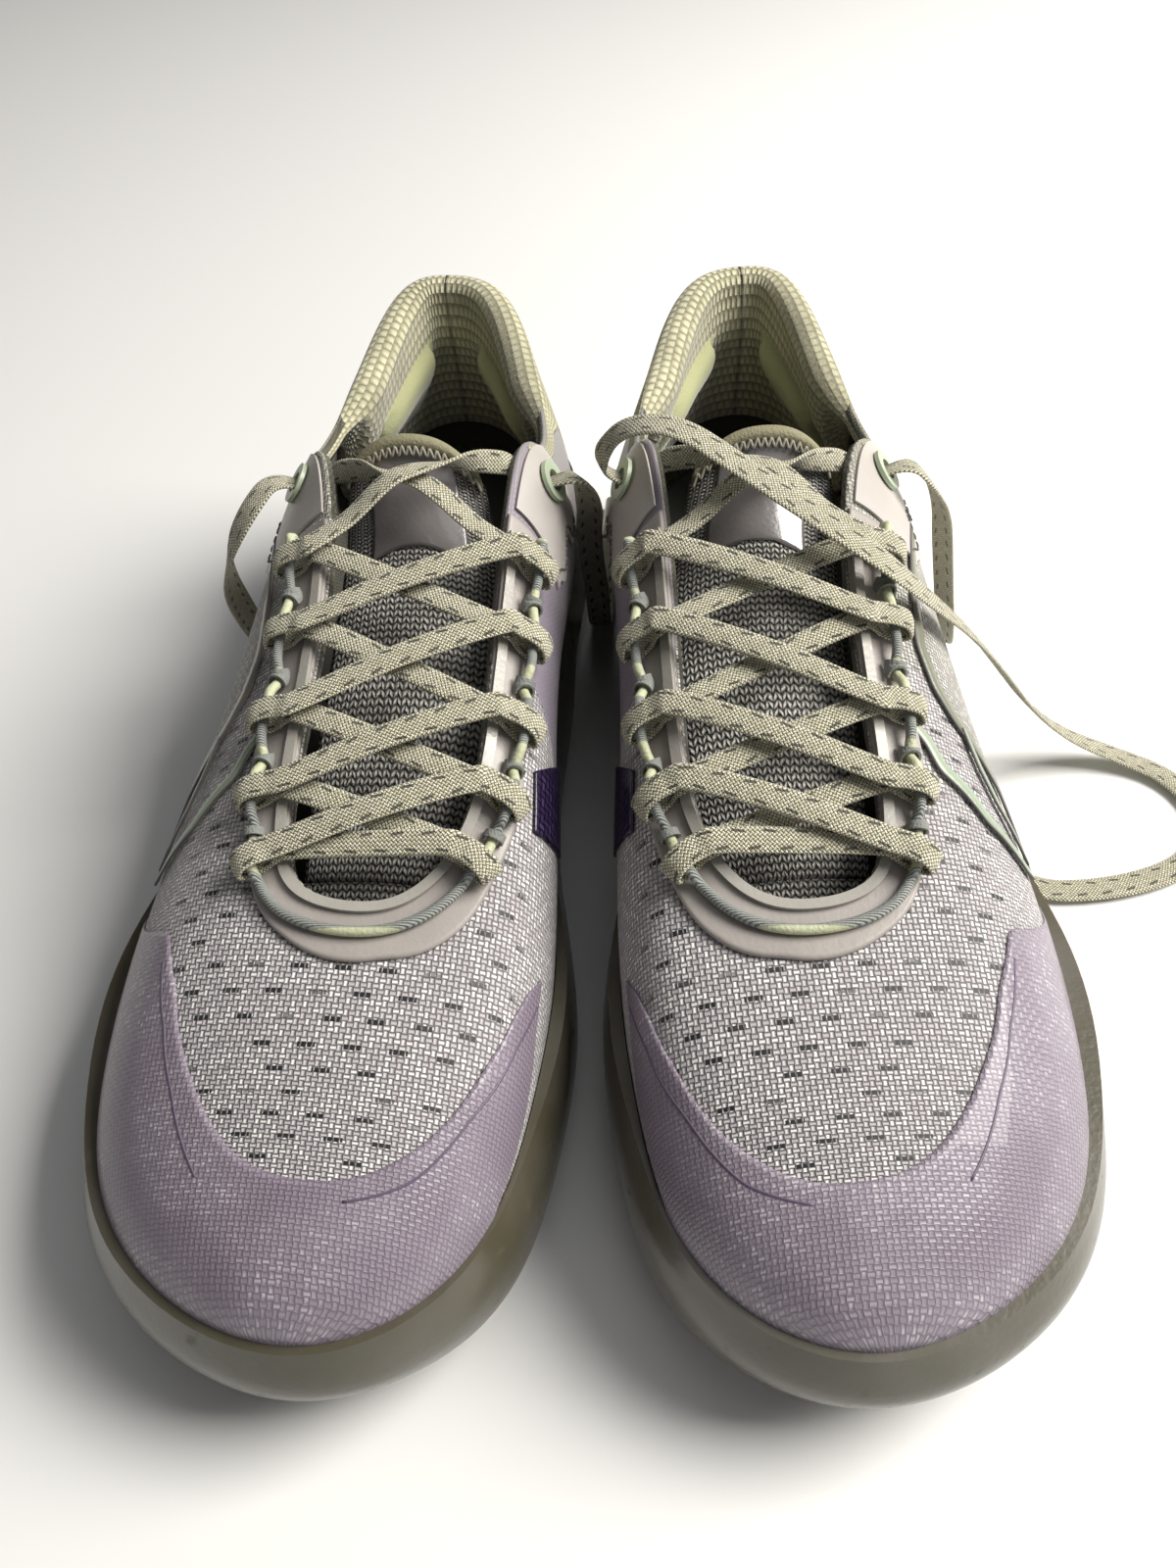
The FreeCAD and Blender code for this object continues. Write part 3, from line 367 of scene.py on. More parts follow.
class Value:
    """Output of a shader node; arithmetic on it builds math nodes."""

    def __init__(self, shader, socket):
        self.shader = shader
        self.socket = socket

    __add__ = operation("ADD")
    __mul__ = operation("MULTIPLY")
    __sub__ = operation("SUBTRACT")
    __rsub__ = operation("SUBTRACT", swapped=True)
    __truediv__ = operation("DIVIDE")
    __mod__ = operation("MODULO")
    __pow__ = operation("POWER")
    __lt__ = operation("LESS_THAN")
    __abs__ = operation("ABSOLUTE")
    floor = operation("FLOOR")
    fract = operation("FRACT")
    sine = operation("SINE")
    sign = operation("SIGN")


class Shader:
    """Small helper that writes node trees."""

    def __init__(self, name, roughness=0.6, sheen=0.0, coat=0.0, subsurface=0.0):
        self.material = bpy.data.materials.new(name)
        self.material.use_nodes = True
        self.tree = self.material.node_tree
        self.bsdf = self.tree.nodes["Principled BSDF"].inputs
        constants = {"Roughness": roughness, "Sheen Weight": sheen, "Coat Weight": coat, "IOR": 1.5,
                     "Subsurface Weight": subsurface, "Subsurface Scale": 0.004}
        for socket, value in constants.items():
            self.bsdf[socket].default_value = value

    def feed(self, socket, value):
        if isinstance(value, Value):
            self.tree.links.new(value.socket, socket)
        elif isinstance(value, tuple):
            socket.default_value = (*value, 1.0)
        else:
            socket.default_value = value

    def node(self, kind, **inputs):
        node = self.tree.nodes.new(kind)
        for name, value in inputs.items():
            self.feed(node.inputs[name], value)
        return node

    def outputs(self, node):
        return [Value(self, socket) for socket in node.outputs]

    def math(self, kind, *values, clamp=False):
        node = self.tree.nodes.new("ShaderNodeMath")
        node.operation = kind
        node.use_clamp = clamp
        for socket, value in zip(node.inputs, values):
            self.feed(socket, value)
        return self.outputs(node)[0]

    def ramp(self, value, low, high):
        """0 below low, 1 above high, smooth between."""
        node = self.tree.nodes.new("ShaderNodeMapRange")
        node.interpolation_type = "SMOOTHSTEP"
        for socket, item in zip(node.inputs, (value, low, high, 0.0, 1.0)):
            self.feed(socket, item)
        return self.outputs(node)[0]

    def mix(self, factor, a, b):
        node = self.tree.nodes.new("ShaderNodeMix")
        node.data_type = "RGBA"
        self.feed(node.inputs[0], factor)
        for socket, value in zip([s for s in node.inputs if s.type == "RGBA"], (a, b)):
            self.feed(socket, value)
        return Value(self, [s for s in node.outputs if s.type == "RGBA"][0])

    def split(self, vector):
        return self.outputs(self.node("ShaderNodeSeparateXYZ", Vector=vector))

    def uv(self):
        return self.split(self.outputs(self.node("ShaderNodeUVMap"))[0])[:2]

    def place(self):
        """Where the point is on the object, in metres."""
        node = self.node("ShaderNodeTexCoord")
        return Value(self, node.outputs["Object"])

    def noise(self, vector, scale, detail=3.0):
        node = self.node("ShaderNodeTexNoise", Vector=vector, Scale=scale, Detail=detail)
        return self.outputs(node)[0]

    def random(self, x, y):
        """One random number for each whole x and y."""
        cell = self.outputs(self.node("ShaderNodeCombineXYZ", X=x, Y=y))[0]
        node = self.tree.nodes.new("ShaderNodeTexWhiteNoise")
        node.noise_dimensions = "2D"
        self.feed(node.inputs["Vector"], cell)
        return Value(self, node.outputs["Value"])

    def finish(self, colour, height=None, bump=0.0005, roughness=None):
        self.feed(self.bsdf["Base Color"], colour)
        if roughness is not None:
            self.feed(self.bsdf["Roughness"], roughness)
        if height is not None:
            node = self.node("ShaderNodeBump", Height=height, Distance=bump, Strength=1.0)
            self.feed(self.bsdf["Normal"], Value(self, node.outputs[0]))
        return self.material


def threads(sh, u, v, pitch):
    """Plain weave: height of the threads, a random number for each, and the count across."""
    a, b = u / pitch, v / pitch
    wave_a, wave_b = (a * math.pi).sine(), (b * math.pi).sine()
    top = sh.ramp(wave_a * wave_b, -0.25, 0.25)
    height = abs(wave_b) * top + abs(wave_a) * (1.0 - top)
    return height, sh.random(a.floor(), b.floor()), b


def rear_tint(sh, colour, tinted):
    """Turns from one colour to another from the arch to the heel."""
    y = sh.split(sh.place())[1]
    return sh.mix(sh.ramp(y, -0.01, 0.09), colour, tinted)


# rows of open holes in the vamp's mesh, in millimetres
HOLE_ROW = 5.4
HOLE_COLUMN = 9.0
HOLE_PITCH = 1.2


def perforations(sh, u, v):
    """Short groups of holes, each row half a column aside, away from the shoe's edges."""
    row = (v / HOLE_ROW).floor()
    column = (u + (row % 2.0) * (HOLE_COLUMN / 2) + sh.random(row, 3.0) * 1.2) / HOLE_COLUMN
    group = abs(column.fract() - 0.5) < 0.2
    line = abs((v / HOLE_ROW).fract() - 0.5) < 0.1
    opened = abs((u / HOLE_PITCH).fract() - 0.5) < 0.38
    # How dark each group's painted shade is, at random.
    depth = sh.ramp(sh.random(column.floor(), row), 0.05, 0.4)
    return group * line * opened * depth * sh.ramp(abs(u), 46.0, 38.0)


def woven(name, gap, thread, highlight_colour, pitch=1.2, perforated=False, tint=None, rough=0.55, sheen=0.25,
          bump=0.00035, highlight_strength=1.0):
    sh = Shader(name, roughness=rough, sheen=sheen)
    u, v = sh.uv()
    height, cell, _ = threads(sh, u, v, pitch)
    # Painted shade: the gap colour darkens the threads where they dip between crossings.
    colour = sh.mix(sh.ramp(height, 0.25, 0.9), gap, thread)
    # Painted highlight: the highlight colour lies on the crests of scattered threads.
    painted_highlight = sh.ramp(cell, 0.45, 0.95) * sh.ramp(height, 0.6, 1.0)
    colour = sh.mix(painted_highlight * highlight_strength, colour, highlight_colour)
    if perforated:
        hole = perforations(sh, u, v)
        # The holes are painted near-black: the shade seen through them.
        colour = sh.mix(hole, colour, (0.005, 0.005, 0.007))
        height = height * (1.0 - hole)
    if tint:
        colour = rear_tint(sh, colour, tint)
    return sh.finish(colour, height, bump)


def plain(name, colour, rough=0.5, grain=0.00008, scale=900.0, sheen=0.0, coat=0.0, tint=None):
    """Moulded or printed surface: slight cloudiness, fine grain and wear."""
    sh = Shader(name, roughness=rough, sheen=sheen, coat=coat)
    coords = sh.place()
    cloud = sh.noise(coords, 45.0)
    dark = tuple(c * 0.76 for c in colour)
    light = tuple(min(1.0, c * 1.12) for c in colour)
    shade = sh.mix(cloud, dark, light)
    if tint:
        shade = rear_tint(sh, shade, tint)
    worn = sh.math("ADD", cloud * 0.22, rough - 0.1, clamp=True)
    return sh.finish(shade, sh.noise(coords, scale), grain, worn)


def toe_film():
    """Thin lilac film pressed over the weave, whose threads show through it, with painted
    highlights in patches on their crests.
    """
    sh = Shader("toe_film", roughness=0.36, coat=0.2)
    height, cell, b = threads(sh, *sh.uv(), 1.25)
    cloud = sh.noise(sh.place(), 55.0)
    rows = abs((b * (math.pi / 2)).sine())
    colour = sh.mix(sh.ramp(cloud, 0.3, 0.7), (0.185, 0.145, 0.195), (0.25, 0.21, 0.265))
    colour = sh.mix(sh.ramp(height, 0.2, 1.0) * 0.4, colour, (0.40, 0.36, 0.41))
    # Painted highlight: pale spots on scattered thread crests, in patches and alternate rows.
    painted_highlight = sh.ramp(cell, 0.4, 0.95) * sh.ramp(height, 0.5, 1.0)
    patchy = painted_highlight * sh.ramp(cloud, 0.4, 0.65) * sh.ramp(rows, 0.3, 0.9)
    colour = sh.mix(patchy * 0.85, colour, (0.66, 0.62, 0.66))
    return sh.finish(colour, height, 0.00013, cloud * 0.2 + 0.28)


def lace_braid():
    """Diagonal braid with two lines of dark flecks, painted shade in its grooves and painted
    highlights on its crests.
    """
    sh = Shader("lace_braid", roughness=0.75, sheen=0.3)
    u, v = sh.uv()
    height, cell, _ = threads(sh, u + v, u - v, 0.95)
    # Painted shade in the braid's grooves.
    colour = sh.mix(sh.ramp(height, 0.15, 0.85), (0.14, 0.125, 0.07), (0.60, 0.57, 0.42))
    # Painted highlight on scattered crests.
    painted_highlight = sh.ramp(cell, 0.3, 1.0) * sh.ramp(height, 0.55, 1.0)
    colour = sh.mix(painted_highlight, colour, (0.88, 0.85, 0.69))
    step = (u / 6.4 + v.sign() * 0.25).fract() - 0.5
    line = abs(abs(v) - (step * 0.9 + 1.75))
    fleck = (abs(step) < 0.2) * (line < 0.3)
    fleck = sh.math("MULTIPLY", fleck, height * 0.6 + 0.45, clamp=True)
    colour = sh.mix(fleck * 0.93, colour, (0.012, 0.013, 0.012))
    return sh.finish(colour, height + sh.noise(sh.place(), 1500.0) * 0.5, 0.0003)


def collar_scales():
    """Padded knit with small overlapping scales and a seam at the heel, with painted shade where
    the scales overlap and down the inner face of the opening.
    """
    sh = Shader("collar_knit", roughness=0.85, sheen=0.35)
    dark, light = (0.11, 0.10, 0.055), (0.60, 0.575, 0.40)
    u, v = sh.uv()
    b = v / 1.9
    a = u / 2.6 + (b.floor() % 2.0) * 0.5
    side = (a.fract() - 0.5) * 2.0
    height = ((1.0 - side * side) * 0.75 + 0.25) * b.fract()**0.8
    fuzz = sh.noise(sh.place(), 1300.0)
    cloud = sh.noise(sh.place(), 60.0)
    crease = sh.ramp(abs(u), 1.1, 0.2)
    # Painted shade: each scale darkens towards its low edge, where the rows overlap.
    colour = sh.mix(sh.ramp(height, 0.05, 0.7), dark, light)
    colour = sh.mix(fuzz * 0.45, colour, (0.90, 0.8625, 0.60))
    colour = sh.mix(sh.ramp(cloud, 0.35, 0.75) * 0.3, colour, dark)
    # Painted shade down the inner face of the opening.
    colour = sh.mix(sh.ramp(v, 30.0, 52.0) * 0.55, colour, (0.044, 0.04, 0.022))
    colour = sh.mix(crease * 0.4, colour, (0.01, 0.01, 0.006))
    return sh.finish(colour, height - crease + fuzz * 0.25, 0.0007)


def tongue_loops():
    """Open spacer knit: small V loops round holes, with painted shade in the holes and painted
    highlights on the loop tops.
    """
    sh = Shader("tongue_knit", roughness=0.85, sheen=0.2)
    u, v = sh.uv()
    a = u / 1.9 + sh.noise(sh.place(), 500.0) * 0.6
    b = v / 1.6 + abs(a.fract() - 0.5)
    rib = abs((b * math.pi).sine())
    column = abs((a * (2 * math.pi)).sine())
    height = rib * (column * 0.65 + 0.35) + sh.noise(sh.place(), 2200.0) * 0.35
    # Painted shade in the holes between the loops.
    colour = sh.mix(sh.ramp(height, 0.35, 0.75), (0.025, 0.024, 0.023), (0.46, 0.445, 0.41))
    # Painted highlight on the loop tops.
    colour = sh.mix(sh.ramp(height, 0.85, 1.2), colour, (0.88, 0.86, 0.81))
    return sh.finish(colour, height, 0.0009)


def sole_rubber(name, low, high, rubbed, rough, coat):
    """Milky rubber, darker and browner near the ground, partly its own tone and partly painted
    shade, and rubbed pale in patches.
    """
    sh = Shader(name, roughness=rough, coat=coat, subsurface=0.12)
    coords = sh.place()
    cloud = sh.noise(coords, 28.0)
    z = sh.split(coords)[2]
    # Darker and browner towards the ground: partly the rubber's own tone, partly painted shade near
    # the floor.
    colour = sh.mix(sh.ramp(z + cloud * 0.008, 0.006, 0.036), low, high)
    colour = sh.mix(sh.ramp(cloud, 0.35, 0.75), colour, rubbed)
    scuff = sh.ramp(sh.noise(coords, 190.0, 6.0), 0.60, 0.72)
    colour = sh.mix(scuff * 0.25, colour, rubbed)
    return sh.finish(colour, sh.noise(coords, 700.0), 0.00006, scuff * 0.3 + (rough - 0.06))


def wrapped_cable():
    """Pale braided cord, gripped at intervals by long grey wraps of thread."""
    sh = Shader("wrapped_cable", roughness=0.6)
    coords = sh.place()
    y = sh.split(coords)[1]
    wrap = sh.ramp(abs((y / 0.0195).fract() - 0.5), 0.30, 0.27)
    turn = abs((y * 6200.0).sine())
    braid = sh.noise(coords, 1400.0)
    cord = sh.mix(braid, (0.40, 0.42, 0.26), (0.66, 0.68, 0.48))
    # Painted shade and highlight: each turn of the grey wrap darker between turns and lighter on
    # its crest.
    grey = sh.mix(turn, (0.12, 0.13, 0.125), (0.36, 0.38, 0.36))
    return sh.finish(sh.mix(wrap, cord, grey), wrap * turn + braid, 0.0002)


# In each woven look the first colour is painted shade between the threads and the third a painted
# highlight on their crests.
M = {
    "vamp": woven("vamp_weave", (0.20, 0.185, 0.195), (0.50, 0.47, 0.485), (0.90, 0.89, 0.86),
                  perforated=True),
    "lateral": woven("lateral_weave", (0.17, 0.16, 0.145), (0.46, 0.44, 0.415), (0.86, 0.85, 0.80),
                     tint=(0.34, 0.33, 0.25)),
    "lining": woven("lining_weave", (0.05, 0.047, 0.03), (0.11, 0.105, 0.065), (0.15, 0.14, 0.09),
                    pitch=0.8),
    "medial": woven("medial_satin", (0.20, 0.165, 0.215), (0.29, 0.25, 0.315), (0.38, 0.34, 0.40),
                    pitch=0.7, tint=(0.32, 0.30, 0.30), rough=0.42, bump=0.00008, highlight_strength=0.5),
    "heel": woven("heel_satin", (0.15, 0.145, 0.11), (0.26, 0.25, 0.195), (0.34, 0.325, 0.26),
                  pitch=0.9, rough=0.6, bump=0.00012, highlight_strength=0.5),
    "badge": woven("badge_film", (0.006, 0.004, 0.012), (0.028, 0.018, 0.055), (0.055, 0.04, 0.10),
                   pitch=1.9, rough=0.25, sheen=0.0, bump=0.00005),
    "insole": woven("insole_cloth", (0.04, 0.04, 0.035), (0.09, 0.09, 0.08), (0.12, 0.12, 0.1),
                    pitch=0.8),
    "sole": sole_rubber("sole_wall", (0.030, 0.027, 0.010), (0.072, 0.065, 0.040),
                        (0.125, 0.115, 0.095), 0.34, 0.25),
    "outsole": sole_rubber("outsole_rubber", (0.06, 0.05, 0.028), (0.11, 0.095, 0.06),
                           (0.13, 0.115, 0.08), 0.5, 0.0),
    "eyestay": plain("eyestay_film", (0.395, 0.36, 0.34), rough=0.42),
    "rail": plain("rail_film", (0.42, 0.40, 0.365), rough=0.28),
    "midsole": plain("midsole_foam", (0.45, 0.45, 0.43), rough=0.7),
    "tack": plain("tack_thread", (0.25, 0.26, 0.245), rough=0.85, grain=0.0004, scale=1800.0),
    "ring": plain("ring_print", (0.47, 0.55, 0.40), rough=0.35),
    "patch": plain("eyelet_film", (0.50, 0.465, 0.46), rough=0.4, tint=(0.48, 0.45, 0.40)),
    "aglet": plain("aglet_tip", (0.34, 0.32, 0.25), rough=0.25, coat=0.5),
    "binding": plain("binding_tape", (0.30, 0.28, 0.18), rough=0.85, grain=0.0003, scale=1600.0),
    "gloss": plain("tongue_gloss", (0.20, 0.185, 0.185), rough=0.18, coat=0.7),
    "band": plain("band_foil", (0.20, 0.205, 0.155), rough=0.3, coat=0.2),
    "band_edge": plain("band_edge_foil", (0.33, 0.40, 0.30), rough=0.3),
    # Darker lilac for the strips along the toe film's creases: painted shade of the folds.
    "crease": plain("toe_crease", (0.13, 0.10, 0.155), rough=0.4),
    "ankle": plain("ankle_lining", (0.42, 0.43, 0.235), rough=0.9, grain=0.0002, scale=1500.0,
                   sheen=0.5),
    "stitch": plain("stitch_thread", (0.36, 0.34, 0.28), rough=0.7),
    "stitch_dark": plain("stitch_dark", (0.11, 0.10, 0.10), rough=0.7),
    "cable": wrapped_cable(), "toe": toe_film(), "collar": collar_scales(),
    "tongue": tongue_loops(), "lace": lace_braid(),
}

NODE_LOOKS = {
    "outsole": "outsole", "midsole": "midsole", "sidewall": "sole", "shank_plate": "badge",
    "strobel_board": "lining", "insole": "insole", "heel_counter": "lining", "throat_rails": "rail",
    "lace_cable": "cable", "cable_tacks": "tack", "eyelet_patches": "patch", "eyelet_rings": "ring",
    "tongue_patch": "gloss", "tongue_binding": "binding", "side_bands": "band",
    "medial_badge": "badge", "aglets": "aglet", "ankle_pads": "ankle", "collar_pad": "collar",
    "tongue": "tongue",
}
for shoe, side in SHOES:
    for node, look in NODE_LOOKS.items():
        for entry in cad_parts[shoe + "_" + node].material_slots:
            entry.link = "OBJECT"
            entry.material = M[look]

# ==== camera
CAMERA_AT = (0.01267, -0.20707, 0.26240)
PITCH = 0.85123
YAW = -0.06945
ROLL = -0.06256
SENSOR_HEIGHT = 24.0
FOCAL_LENGTH = 18.304
forward = np.array([math.sin(YAW) * math.cos(PITCH), math.cos(YAW) * math.cos(PITCH),
                    -math.sin(PITCH)])
right = np.array([math.cos(YAW), -math.sin(YAW), 0.0])
above = np.cross(right, forward)
right, above = (right * math.cos(ROLL) + above * math.sin(ROLL),
                above * math.cos(ROLL) - right * math.sin(ROLL))
camera_data = bpy.data.cameras.new("camera")
camera_data.sensor_fit = "VERTICAL"
camera_data.sensor_height = SENSOR_HEIGHT
camera_data.lens = FOCAL_LENGTH
camera_data.clip_start = 0.01
camera = add_object("camera", camera_data)
turn = np.stack([right, above, -forward], 1)
camera.matrix_world = Matrix.Translation(CAMERA_AT) @ Matrix(turn.tolist()).to_4x4()
bpy.context.scene.camera = camera

# ==== free lace ends
# Each starts at its eyelet's hole; then the same points as the cord's solid, in millimetres.
TAILS = {
    "left_lace_tail_a": [
        (3.5, 38, 101), (9, 36, 109.5), (21, 31, 113), (36, 21, 107.5), (50, 10.5, 103),
        (64, 3, 97), (78, 5, 83), (92, 12, 66), (105, 20, 46), (118, 26, 26), (133, 30, 10),
        (149, 29, 2.6), (162, 22, 1.4), (168, 8, 1.4), (163, -6, 1.4), (149, -14, 1.4),
        (132, -18, 1.4), (116, -18, 1.4), (106, -8, 1.4), (102, 8, 2), (101, 24, 2.6)],
    "left_lace_tail_b": [
        (84, 44, 87), (90, 50, 75), (94, 56, 59), (98, 60, 42), (102, 63, 25), (105, 70, 10),
        (106, 83, 2.6), (104, 99, 1.4), (99, 115, 1.4), (91, 130, 1.4), (79, 143, 1.4),
        (64, 152, 2), (47, 157, 2.6)],
    "right_lace_tail_a": [
        (-1, 43, 89), (0, 49, 79), (-1, 55, 67), (-1, 60, 53), (0, 64, 39), (0, 69, 25),
        (0, 78, 12), (0, 91, 4), (1, 105, 1.4), (0, 120, 2), (1, 134, 2.6)],
    "right_lace_tail_b": [
        (-84, 35, 88.5), (-91, 33, 78), (-96, 39, 64), (-99, 48, 48), (-101, 57, 32),
        (-103, 66, 17), (-105, 78, 6), (-104, 92, 2), (-100, 108, 1.4), (-93, 123, 1.4),
        (-83, 137, 1.4), (-69, 148, 2), (-53, 154, 2.6)],
}
LACE_WIDTH = 7.0
LACE_THICKNESS = 1.2
# a free end starts this far inside its eyelet and stands out by this much before it turns
BEHIND_EYELET = 1.7
OUT_OF_EYELET = 7.0
EYELET_STATION = 4.9
EYELET_LEVEL = 0.86


def ribbon_rings(centres, ups, width, thickness, around=12):
    """Rings of a flat lace with rounded edges, and its uv in millimetres."""
    centres = np.asarray(centres, float)
    along = unit(np.gradient(centres, axis=0))
    across = unit(np.cross(along, ups))
    face = np.cross(across, along)
    angle = np.arange(around) * 2 * math.pi / around
    c, s = np.cos(angle), np.sin(angle)
    wide = np.sign(c) * np.abs(c)**0.55 * np.reshape(width, (-1, 1)) / 2
    wide = np.broadcast_to(wide, (len(centres), around))
    thick = np.sign(s) * np.abs(s)**0.8 * thickness / 2
    rings = centres[:, None] + across[:, None] * wide[..., None] + face[:, None] * thick[:, None]
    uv = np.stack(np.broadcast_arrays(distances(centres)[:, None], wide), -1)
    return rings, uv


def eyelet_axis(tail):
    """Middle and direction of the eyelet that a free end comes out of."""
    t = np.array(EYELET_STATION if tail.endswith("b") else ROUND - EYELET_STATION)
    return on_last(t, EYELET_LEVEL), out_of_last(t, EYELET_LEVEL)


def spline_points(name, route):
    """Points of the smooth NURBS curve that a free lace end follows."""
    data = bpy.data.curves.new(name, "CURVE")
    data.dimensions = "3D"
    spline = data.splines.new("NURBS")
    spline.points.add(len(route) - 1)
    for point, place in zip(spline.points, route):
        point.co = (*place, 1.0)
    spline.order_u = 3
    spline.use_endpoint_u = True
    spline.resolution_u = 12
    holder = add_object(name, data)
    graph = bpy.context.evaluated_depsgraph_get()
    line = bpy.data.meshes.new_from_object(holder.evaluated_get(graph))
    points = np.array([v.co for v in line.vertices])
    bpy.data.objects.remove(holder)
    return points


# how fast a free end turns to face up, and how level it has to run for that
SETTLING = 0.12
LEAST_LEVEL = 0.35


def settle_faces(points, first):
    """Which way a hanging and then lying lace faces: carried along, easing to face up."""
    along = unit(np.gradient(points, axis=0))
    up = unit(first - along[0] * first.dot(along[0]))
    ups = []
    for direction in along:
        up = unit(up - direction * up.dot(direction))
        level = np.array([0, 0, 1.0]) - direction * direction[2]
        if np.linalg.norm(level) > LEAST_LEVEL:
            up = unit(up + SETTLING * level * (1 if up.dot(level) >= -0.2 else -1))
        ups.append(up)
    return np.array(ups)


for name, route in TAILS.items():
    shoe, side = SHOES[0] if name.startswith("left") else SHOES[1]
    centre, out = eyelet_axis(name)
    start = np.array([centre - out * BEHIND_EYELET, centre + out * OUT_OF_EYELET])
    points = spline_points(name + "_line", [*own_to_pair(start, side), *np.array(route) * MM])
    ups = settle_faces(points, np.array([0.2 * side, 0.3, 1.0]))
    rings, uv = ribbon_rings(points / MM, ups, LACE_WIDTH, LACE_THICKNESS)
    piece = mesh_object(name + "_flat", rings.reshape(-1, 3) * MM,
                        loft_faces(*rings.shape[:2], -1), M["lace"], uv.reshape(-1, 2))
    finish_piece(piece, shoe, "lace_cloth", name.removeprefix(shoe + "_"))

# ==== upper
# the panels stop just short of the last's top edge, and the collar covers them from there
EDGE_LEVEL = 0.985


def upper_panel(shoe, side, node, t0, t1, look, slot, count, thickness=UPPER_THICKNESS):
    edges = np.array([0, 0.006])
    h = np.concatenate([edges, np.linspace(0.02, EDGE_LEVEL, 46), 1 - edges[::-1] * 0.6])
    t, h = np.meshgrid(np.linspace(t0, t1, count), h, indexing="ij")
    piece = layer("%s_%s_skin" % (shoe, node), side, t, h, (-thickness, 0.0), M[look], M["lining"])
    finish_piece(piece, shoe, slot, node)


COLLAR_BACK = 3.4
# the collar's padding: thickness at its edges, how much more in the middle, where, how wide
PAD_EDGE, PAD_MORE, PAD_LEVEL, PAD_SPREAD = 1.5, 5.0, 0.82, 0.24


def collar_pad_depth(h):
    return PAD_EDGE + PAD_MORE * np.exp(-((h - PAD_LEVEL) / PAD_SPREAD)**2)


def along_level(t, h):
    return unit(on_last(t, np.minimum(1, h + 0.01)) - on_last(t, np.maximum(0, h - 0.01)))


def collar(shoe, side):
    """Rolled, padded edge of the foot opening, its ends running down beside the tongue."""
    count = 200
    t = np.linspace(MEDIAL_END - 2.2, ROUND + LATERAL_START + 2.2, count)
    from_heel = np.abs(t - ROUND)
    rear = 1 - smooth(2.3, 3.1, from_heel)
    low = 0.93 - 0.64 * rear
    radius = 1.9 + 2.9 * rear
    radius *= 1 - 0.75 * smooth(4.3, 4.8, from_heel)
    rings = []
    for k in np.linspace(0, 1, 10):
        rings.append((EDGE_LEVEL - (1 - k) * (0.05 + 0.16 * rear), 0.15 + 0.5 * k * rear, 0 * t))
    for angle in np.linspace(0.15, math.pi - 0.15, 13):
        depth = 0.5 * rear + 0.2 - radius + radius * math.cos(angle)
        rings.append((EDGE_LEVEL + 0 * t, depth, radius * (0.25 + 0.55 * rear) * math.sin(angle)))
    for k in np.linspace(0, 1, 22):
        h = EDGE_LEVEL + (low - EDGE_LEVEL) * k
        inner = -COLLAR_BACK - collar_pad_depth(h)
        shallow = -2 * radius + 0.7
        padded = np.minimum(inner * rear + shallow * (1 - rear), shallow)
        depth = np.where(rear > 0.5, padded, shallow)
        rings.append((h, depth, 0 * t))
    rings.append((low, -1.5 - 1.6 * rear, 0 * t))
    levels, depths, lifts = (np.stack([r[i] + 0 * t for r in rings], 1) for i in range(3))
    turns = np.repeat(t[:, None], levels.shape[1], 1)
    points = shell(turns, levels, depths) + along_level(turns, levels) * lifts[..., None]
    steps = np.linalg.norm(np.diff(points, axis=1), axis=2).mean(0)
    v = np.concatenate([[0], np.cumsum(steps)])
    u = distances(on_last(t, 1.0))
    u -= np.interp(ROUND, t, u)
    uv = np.stack(np.broadcast_arrays(u[:, None], v[None, :]), -1)
    piece = loft(shoe + "_collar", side, points, uv, M["collar"])
    finish_piece(piece, shoe, "collar_knit", "collar_pad")


def ankle_cushions(shoe, side):
    for index, centre in enumerate((1.6, ROUND - 1.6)):
        a, b = grid((0, 1, 26), (0, 1, 26))
        t = centre + 0.72 * (2 * a - 1)
        h = 0.40 + 0.44 * b
        round_off = np.clip(1 - ((2 * a - 1)**4 + (2 * b - 1)**4), 0, 1)**0.5
        back = -COLLAR_BACK - collar_pad_depth(h)
        front = back - 0.2 - 4.6 * round_off
        points = shell(both_faces(t, t), both_faces(h, h), both_faces(back + 1.0, front))
        name = "%s_ankle_cushion_%d" % (shoe, index)
        piece = loft(name, side, points, points[..., :2], M["ankle"])
        finish_piece(piece, shoe, "ankle_lining", "ankle_pads")


# ---- films on the upper
OVERLAY_LOW = 0.25
EYESTAY_TOP = 1.35
# upper and lower edge of the toe film, as stations and levels
FILM_TOP = np.array([(7.0, 0.28), (7.26, 0.36), (8.06, 0.62), (8.68, 0.65), (9.18, 0.61),
                     (9.7, 0.545), (10.26, 0.53), (10.66, 0.545), (11.06, 0.575), (11.5, 0.56),
                     (11.92, 0.51), (12.2, 0.45)])
FILM_LOW = np.array([(11.05, 0.0), (11.3, 0.2), (11.55, 0.26), (11.8, 0.31), (12.0, 0.40),
                     (12.2, 0.45)])


def eased(t, table):
    """Level of a drawn line at t, its corners rounded."""
    return sum(np.interp(t + step, *table.T) for step in (-0.09, -0.045, 0.0, 0.045, 0.09)) / 5


def toe_cap(shoe, side):
    a, b = grid((0, 1, 190), (0, 1, 34))
    t = FILM_TOP[0, 0] + (FILM_TOP[-1, 0] - FILM_TOP[0, 0]) * a
    low = level_at_height(t, rim_height(on_last(t, 0.2)[..., 1]) - 2.5)
    low = np.maximum(low, eased(t, FILM_LOW))
    top = np.maximum(eased(t, FILM_TOP), low + 0.01)
    piece = layer(shoe + "_toe_film", side, t, low + (top - low) * b, (0.05, 0.55), M["toe"])
    finish_piece(piece, shoe, "toe_film", "toe_cap")


